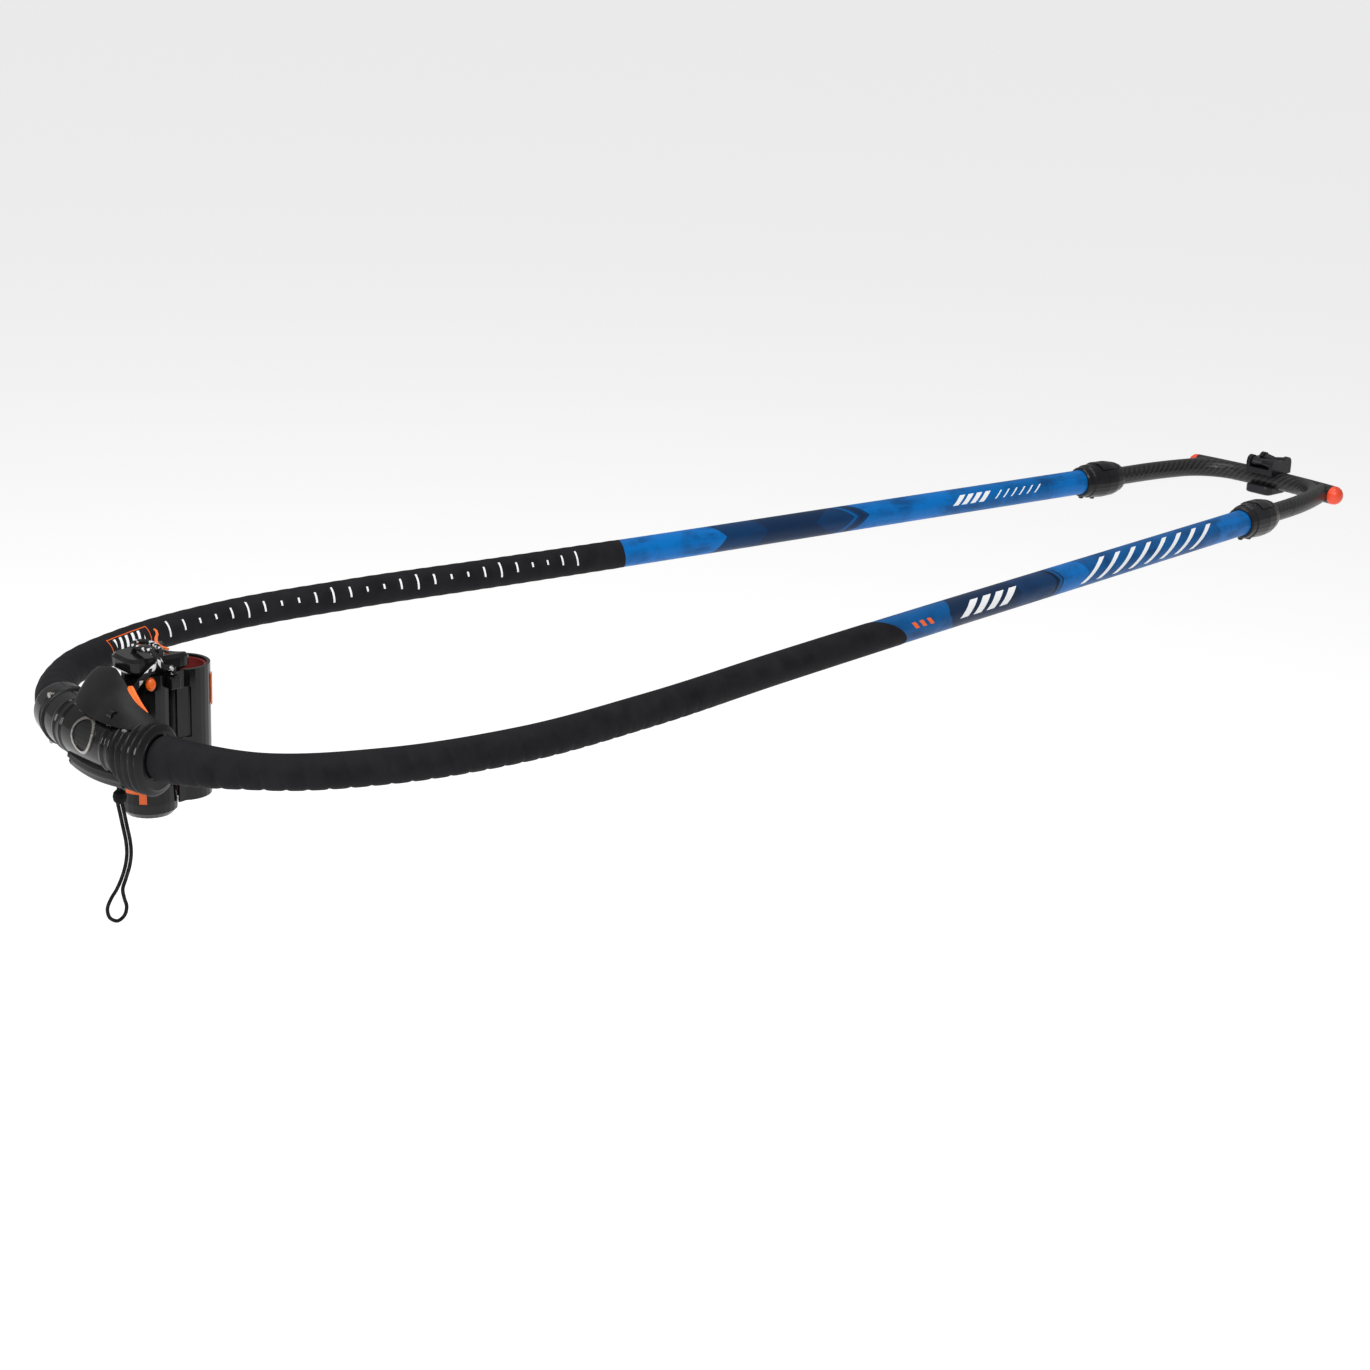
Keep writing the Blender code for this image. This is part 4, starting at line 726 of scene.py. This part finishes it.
def boot_radius(s, angle):
    turn = (angle + 180.0) % 360.0 - 180.0
    away = abs(s)
    share = (away - 0.0415) / 0.029
    skirt = max(0.0, -math.sin(math.radians(turn))) ** 2
    base = 0.0226 + 0.0058 * skirt * ease(share * 3) + 0.0004
    ribs = math.cos(math.tau * (away - 0.0445) / 0.0058)
    depth = 0.0015 * ease((150 - abs(turn)) / 40)
    base += depth * ribs - 0.0004
    base -= 0.0018 * (1 - ease(share / 0.10))
    base -= 0.0022 * ease((share - 0.90) / 0.10)
    return base


boot = skin("boot_port", stations(-0.0415, -0.0706, 0.0005), boot_radius, RUBBER, 96, inner=0.0172)
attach(boot, "boom")


def far_boot_radius(s, angle):
    share = (s - 0.0430) / 0.0275
    ribs = math.cos(math.tau * (s - 0.0460) / 0.0062)
    base = 0.0222 - 0.0030 * ease(share) + 0.0009 * ribs
    return base - 0.0012 * (1 - ease(share / 0.08)) - 0.0012 * ease((share - 0.93) / 0.07)


far_boot = skin("boot_starboard", stations(0.0430, 0.0706, 0.0005), far_boot_radius, RUBBER, 96, inner=0.0170)
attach(far_boot, "boom")


def guard_radius(s, angle):
    turn = (angle + 180.0) % 360.0 - 180.0
    rib = 0.0008 * math.cos(math.radians((turn + 75) * 360 / 13.0))
    along = (s + 0.047) / 0.063
    lip = 0.0285 + 0.0018 * math.sin(math.pi * along)
    teeth = 0.0016 * (1 if math.sin(math.tau * turn / 11.0) > 0 else 0) * ease((s - 0.010) / 0.003)
    return lip + rib - teeth - 0.0055 * ease((turn + 58) / 14) - 0.003 * ease((-98 - turn) / 10)


guard = skin("lower_guard_skin", stations(-0.047, 0.0165, 0.0007), guard_radius, RUBBER, 60,
             start=-112 / 360, turn=68 / 360, inner=0.0208)
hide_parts("lower_guard")
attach(guard, "boom")

# Clamp lever: a moulded hood with a finger tab

LEVER_SECTIONS = [
    (0.0235, [(-0.0700, 0.0320), (-0.0655, 0.0385), (-0.0580, 0.0430), (-0.0555, 0.0390), (-0.0650, 0.0300)]),
    (0.0200, [(-0.0745, 0.0295), (-0.0680, 0.0395), (-0.0590, 0.0450), (-0.0555, 0.0380), (-0.0660, 0.0250)]),
    (0.0140, [(-0.0825, 0.0265), (-0.0710, 0.0385), (-0.0595, 0.0470), (-0.0552, 0.0330), (-0.0700, 0.0228)]),
    (0.0040, [(-0.0880, 0.0235), (-0.0735, 0.0370), (-0.0600, 0.0495), (-0.0552, 0.0300), (-0.0720, 0.0226)]),
    (-0.0060, [(-0.0895, 0.0225), (-0.0740, 0.0365), (-0.0600, 0.0520), (-0.0552, 0.0290), (-0.0720, 0.0226)]),
    (-0.0110, [(-0.0895, 0.0220), (-0.0740, 0.0360), (-0.0600, 0.0505), (-0.0552, 0.0290), (-0.0720, 0.0226)]),
    (-0.0220, [(-0.0892, 0.0212), (-0.0735, 0.0350), (-0.0598, 0.0410), (-0.0552, 0.0270), (-0.0715, 0.0226)]),
    (-0.0360, [(-0.0882, 0.0205), (-0.0735, 0.0330), (-0.0590, 0.0322), (-0.0550, 0.0240), (-0.0700, 0.0224)]),
    (-0.0500, [(-0.0820, 0.0195), (-0.0690, 0.0268), (-0.0580, 0.0262), (-0.0530, 0.0200), (-0.0675, 0.0222)]),
    (-0.0620, [(-0.0740, 0.0200), (-0.0655, 0.0242), (-0.0560, 0.0215), (-0.0520, 0.0170), (-0.0640, 0.0210)]),
    (-0.0665, [(-0.0700, 0.0190), (-0.0640, 0.0215), (-0.0565, 0.0195), (-0.0540, 0.0170), (-0.0630, 0.0190)]),
]


def make_lever():
    bm = bmesh.new()
    rings = [[bm.verts.new((x, y, z)) for x, z in points] for y, points in LEVER_SECTIONS]
    for low, high in zip(rings, rings[1:]):
        for k in range(5):
            bm.faces.new((low[k], low[(k + 1) % 5], high[(k + 1) % 5], high[k]))
    bm.faces.new(rings[0])
    bm.faces.new(rings[-1])
    crease = bm.edges.layers.float.new("crease_edge")
    for low, high in zip(rings, rings[1:]):
        for k, weight in ((0, 0.55), (2, 0.6), (4, 0.8)):
            edge = bm.edges.get((low[k], high[k]))
            edge[crease] = weight
    obj = finish_mesh("lever_hood", bm, MATTE, 60)
    smooth = obj.modifiers.new("smooth", "SUBSURF")
    smooth.levels = smooth.render_levels = 3
    return obj


lever = make_lever()
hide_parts("clamp_lever")
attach(lever, "lever")


def capsule(name, path, radii, mat, flat=1.0, steps=20, lift=Vector((0, 0, 1))):
    """A rounded bar along a path, flattened across lift by flat."""
    points = smooth_curve(path, 8)
    lengths = lengths_of(points)
    bm = bmesh.new()
    rings = []
    count = len(points)
    for k, point in enumerate(points):
        share = lengths[k] / lengths[-1]
        place = share * (len(radii) - 1)
        i = min(int(place), len(radii) - 2)
        radius = radii[i] + (radii[i + 1] - radii[i]) * (place - i)
        end = min(lengths[k], lengths[-1] - lengths[k]) / max(radius, 1e-6)
        radius *= math.sqrt(max(1 - (1 - min(end, 1.0)) ** 2, 0.03))
        along = (points[min(k + 1, count - 1)] - points[max(k - 1, 0)]).normalized()
        across = along.cross(lift).normalized()
        up = across.cross(along)
        ring = []
        for step in range(steps):
            angle = math.tau * step / steps
            sideways = across * math.cos(angle) * radius
            ring.append(bm.verts.new(point + sideways + up * math.sin(angle) * radius * flat))
        rings.append(ring)
    for low, high in zip(rings, rings[1:]):
        for k in range(steps):
            bm.faces.new((low[k], low[(k + 1) % steps], high[(k + 1) % steps], high[k]))
    bm.faces.new(rings[0])
    bm.faces.new(rings[-1])
    return finish_mesh(name, bm, mat, 60)


insert = capsule("lever_inlay",
                 [(-0.0590, -0.0225, 0.0402), (-0.0600, -0.0355, 0.0325), (-0.0592, -0.0490, 0.0248)],
                 [0.0034, 0.0028, 0.0016], ORANGE_PLASTIC, 0.5, lift=Vector((-0.75, -0.2, 0.6)))
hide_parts("lever_insert")
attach(insert, "lever")

# Tail: the moulded corners and the bowed crossbar, in carbon

LEG_R, BAR_R, LEG_JOIN_X, TAIL_X = 0.0097, 0.0099, 1.285, 1.388
CORNER_X, CORNER_Y, BAR_END_Y = 1.384, 0.0735, 0.0888


def places_along(points):
    """Stations for skin() along points in the wishbone's plane."""
    made, lengths = [], lengths_of(points)
    for k, point in enumerate(points):
        along = (points[min(k + 1, len(points) - 1)] - points[max(k - 1, 0)]).normalized()
        made.append((lengths[k], point, Vector((-along.y, along.x, 0.0)), Vector((0, 0, 1))))
    return made


def tail_leg(side, last=CORNER_X, count=24):
    inward = arm_y(CORNER_X) - CORNER_Y
    made = []
    for k in range(count + 1):
        x = LEG_JOIN_X + (last - LEG_JOIN_X) * k / count
        share = (x - LEG_JOIN_X) / (CORNER_X - LEG_JOIN_X)
        made.append(Vector((x, side * (arm_y(x) - inward * share * share), 0.0)))
    return made


def crossbar(low, high, count=30):
    shares = [low + (high - low) * k / count for k in range(count + 1)]
    return [Vector((TAIL_X + (CORNER_X - TAIL_X) * s * s, CORNER_Y * s, 0.0)) for s in shares]


def tail_corner(side, reach=0.040, count=24):
    """A bend that leaves the leg and joins the crossbar, filling the inside of the corner."""
    corner = Vector((CORNER_X, side * CORNER_Y, 0.0))
    start = tail_leg(side, CORNER_X - reach)[-1]
    end = crossbar(0.0, side * (1 - reach / CORNER_Y))[-1]
    shares = [k / count for k in range(count + 1)]
    return [start * (1 - t) ** 2 + corner * 2 * t * (1 - t) + end * t ** 2 for t in shares]


def tail_piece(name, points, radius):
    piece = skin(name, places_along(points), lambda s, angle: radius, CARBON, 44)
    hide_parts("tail_bend")
    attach(piece, "tail")


tail_piece("tail_crossbar", crossbar(-BAR_END_Y / CORNER_Y, BAR_END_Y / CORNER_Y, 60), BAR_R)
for side in (-1, 1):
    tail_piece(f"tail_corner_{TAGS[side]}", tail_leg(side), LEG_R)
    tail_piece(f"tail_fillet_{TAGS[side]}", tail_corner(side), LEG_R - 0.0001)

# The outhaul block's rounded middle, between its rollers

saddle = capsule("outhaul_saddle",
                 [(1.3880, -0.0124, 0.0160), (1.3880, 0.0, 0.0160), (1.3880, 0.0124, 0.0160)],
                 [0.0048, 0.0048, 0.0048], SATIN, 1.0, 28)
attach(saddle, "tail")

# A black rubber rod down the column's port side, behind the jaw's edge: painted shade that fills the dark gap between
# the column and the jaw

gap_shade = capsule("column_gap_shade",
               [(-0.0175, -0.0150, -0.0240), (-0.0175, -0.0150, 0.0040), (-0.0175, -0.0150, 0.0315)],
               [0.0026, 0.0026, 0.0026], RUBBER, 1.0, 20, lift=Vector((0, 1, 0)))
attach(gap_shade, "boom")

# Ropes

ROPE_ROUTE = [
    (-0.0518, -0.0165, 0.0330), (-0.0490, -0.0185, 0.0385), (-0.0440, -0.0225, 0.0460), (-0.0370, -0.0240, 0.0525),
    (-0.0300, -0.0205, 0.0588), (-0.0250, -0.0125, 0.0590), (-0.0222, -0.0020, 0.0590), (-0.0213, 0.0065, 0.0590),
    (-0.0228, 0.0132, 0.0590), (-0.0280, 0.0156, 0.0590), (-0.0334, 0.0125, 0.0590), (-0.0358, 0.0040, 0.0592),
    (-0.0365, -0.0060, 0.0602), (-0.0372, -0.0150, 0.0622), (-0.0372, -0.0220, 0.0618), (-0.0362, -0.0268, 0.0580),
    (-0.0335, -0.0290, 0.0525), (-0.0285, -0.0286, 0.0506), (-0.0245, -0.0268, 0.0492), (-0.0227, -0.0254, 0.0465),
    (-0.0225, -0.0250, 0.0437),
]
PULL_STEM = [(-0.0660, -0.0180, -0.0288), (-0.0662, -0.0180, -0.0340), (-0.0660, -0.0180, -0.0392)]
PULL_LOOP = [
    (-0.0648, -0.0191, -0.0503), (-0.0633, -0.0191, -0.0580), (-0.0610, -0.0191, -0.0700), (-0.0588, -0.0191, -0.0820),
    (-0.0584, -0.0191, -0.0920), (-0.0600, -0.0191, -0.1010), (-0.0633, -0.0191, -0.1100), (-0.0664, -0.0193, -0.1180),
    (-0.0656, -0.0198, -0.1250), (-0.0640, -0.0202, -0.1320), (-0.0660, -0.0202, -0.1386), (-0.0715, -0.0194, -0.1420),
    (-0.0768, -0.0180, -0.1390), (-0.0782, -0.0166, -0.1320), (-0.0750, -0.0164, -0.1248), (-0.0700, -0.0167, -0.1180),
    (-0.0657, -0.0169, -0.1100), (-0.0623, -0.0169, -0.1010), (-0.0607, -0.0169, -0.0920), (-0.0611, -0.0169, -0.0820),
    (-0.0633, -0.0169, -0.0700), (-0.0656, -0.0169, -0.0580), (-0.0672, -0.0169, -0.0503),
]


def cord_tube(name, route, radius, mat, pitch=0.0012, steps=14):
    """A cord as a mesh tube; returns the piece, its path and its length."""
    points = smooth_curve(route, 16)
    lengths = lengths_of(points)
    count = max(4, round(lengths[-1] / pitch))
    path = [at_length(points, lengths, lengths[-1] * k / count) for k in range(count + 1)]
    bm = bmesh.new()
    layer = bm.loops.layers.uv.new("map")
    rings = []
    side = Vector((0.3, 0.9, 0.2))
    for k, point in enumerate(path):
        along = (path[min(k + 1, count)] - path[max(k - 1, 0)]).normalized()
        side = (side - along * side.dot(along)).normalized()
        other = along.cross(side)
        ring = []
        for j in range(steps):
            angle = math.tau * j / steps
            ring.append(bm.verts.new(point + (side * math.cos(angle) + other * math.sin(angle)) * radius))
        rings.append(ring)
    for k, (low, high) in enumerate(zip(rings, rings[1:])):
        u0, u1 = lengths[-1] * k / count, lengths[-1] * (k + 1) / count
        for j in range(steps):
            face = bm.faces.new((low[j], low[(j + 1) % steps], high[(j + 1) % steps], high[j]))
            corners = ((u0, j / steps), (u0, (j + 1) / steps), (u1, (j + 1) / steps), (u1, j / steps))
            for loop, uv in zip(face.loops, corners):
                loop[layer].uv = uv
    bm.faces.new(rings[0])
    bm.faces.new(rings[-1])
    return finish_mesh(name, bm, mat, 60), path, lengths[-1]


rope, _, _ = cord_tube("clamp_rope_braid", ROPE_ROUTE, 0.0020, SPECKLED, 0.0008)
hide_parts("clamp_rope")
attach(rope, "boom")

stem, _, _ = cord_tube("pull_stem_braid", PULL_STEM, 0.0021, CORD, 0.0010)
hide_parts("pull_stem")
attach(stem, "boom")
loop, loop_path, loop_length = cord_tube("pull_loop_braid", PULL_LOOP, 0.0014, CORD)
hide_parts("pull_loop")
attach(loop, "boom")
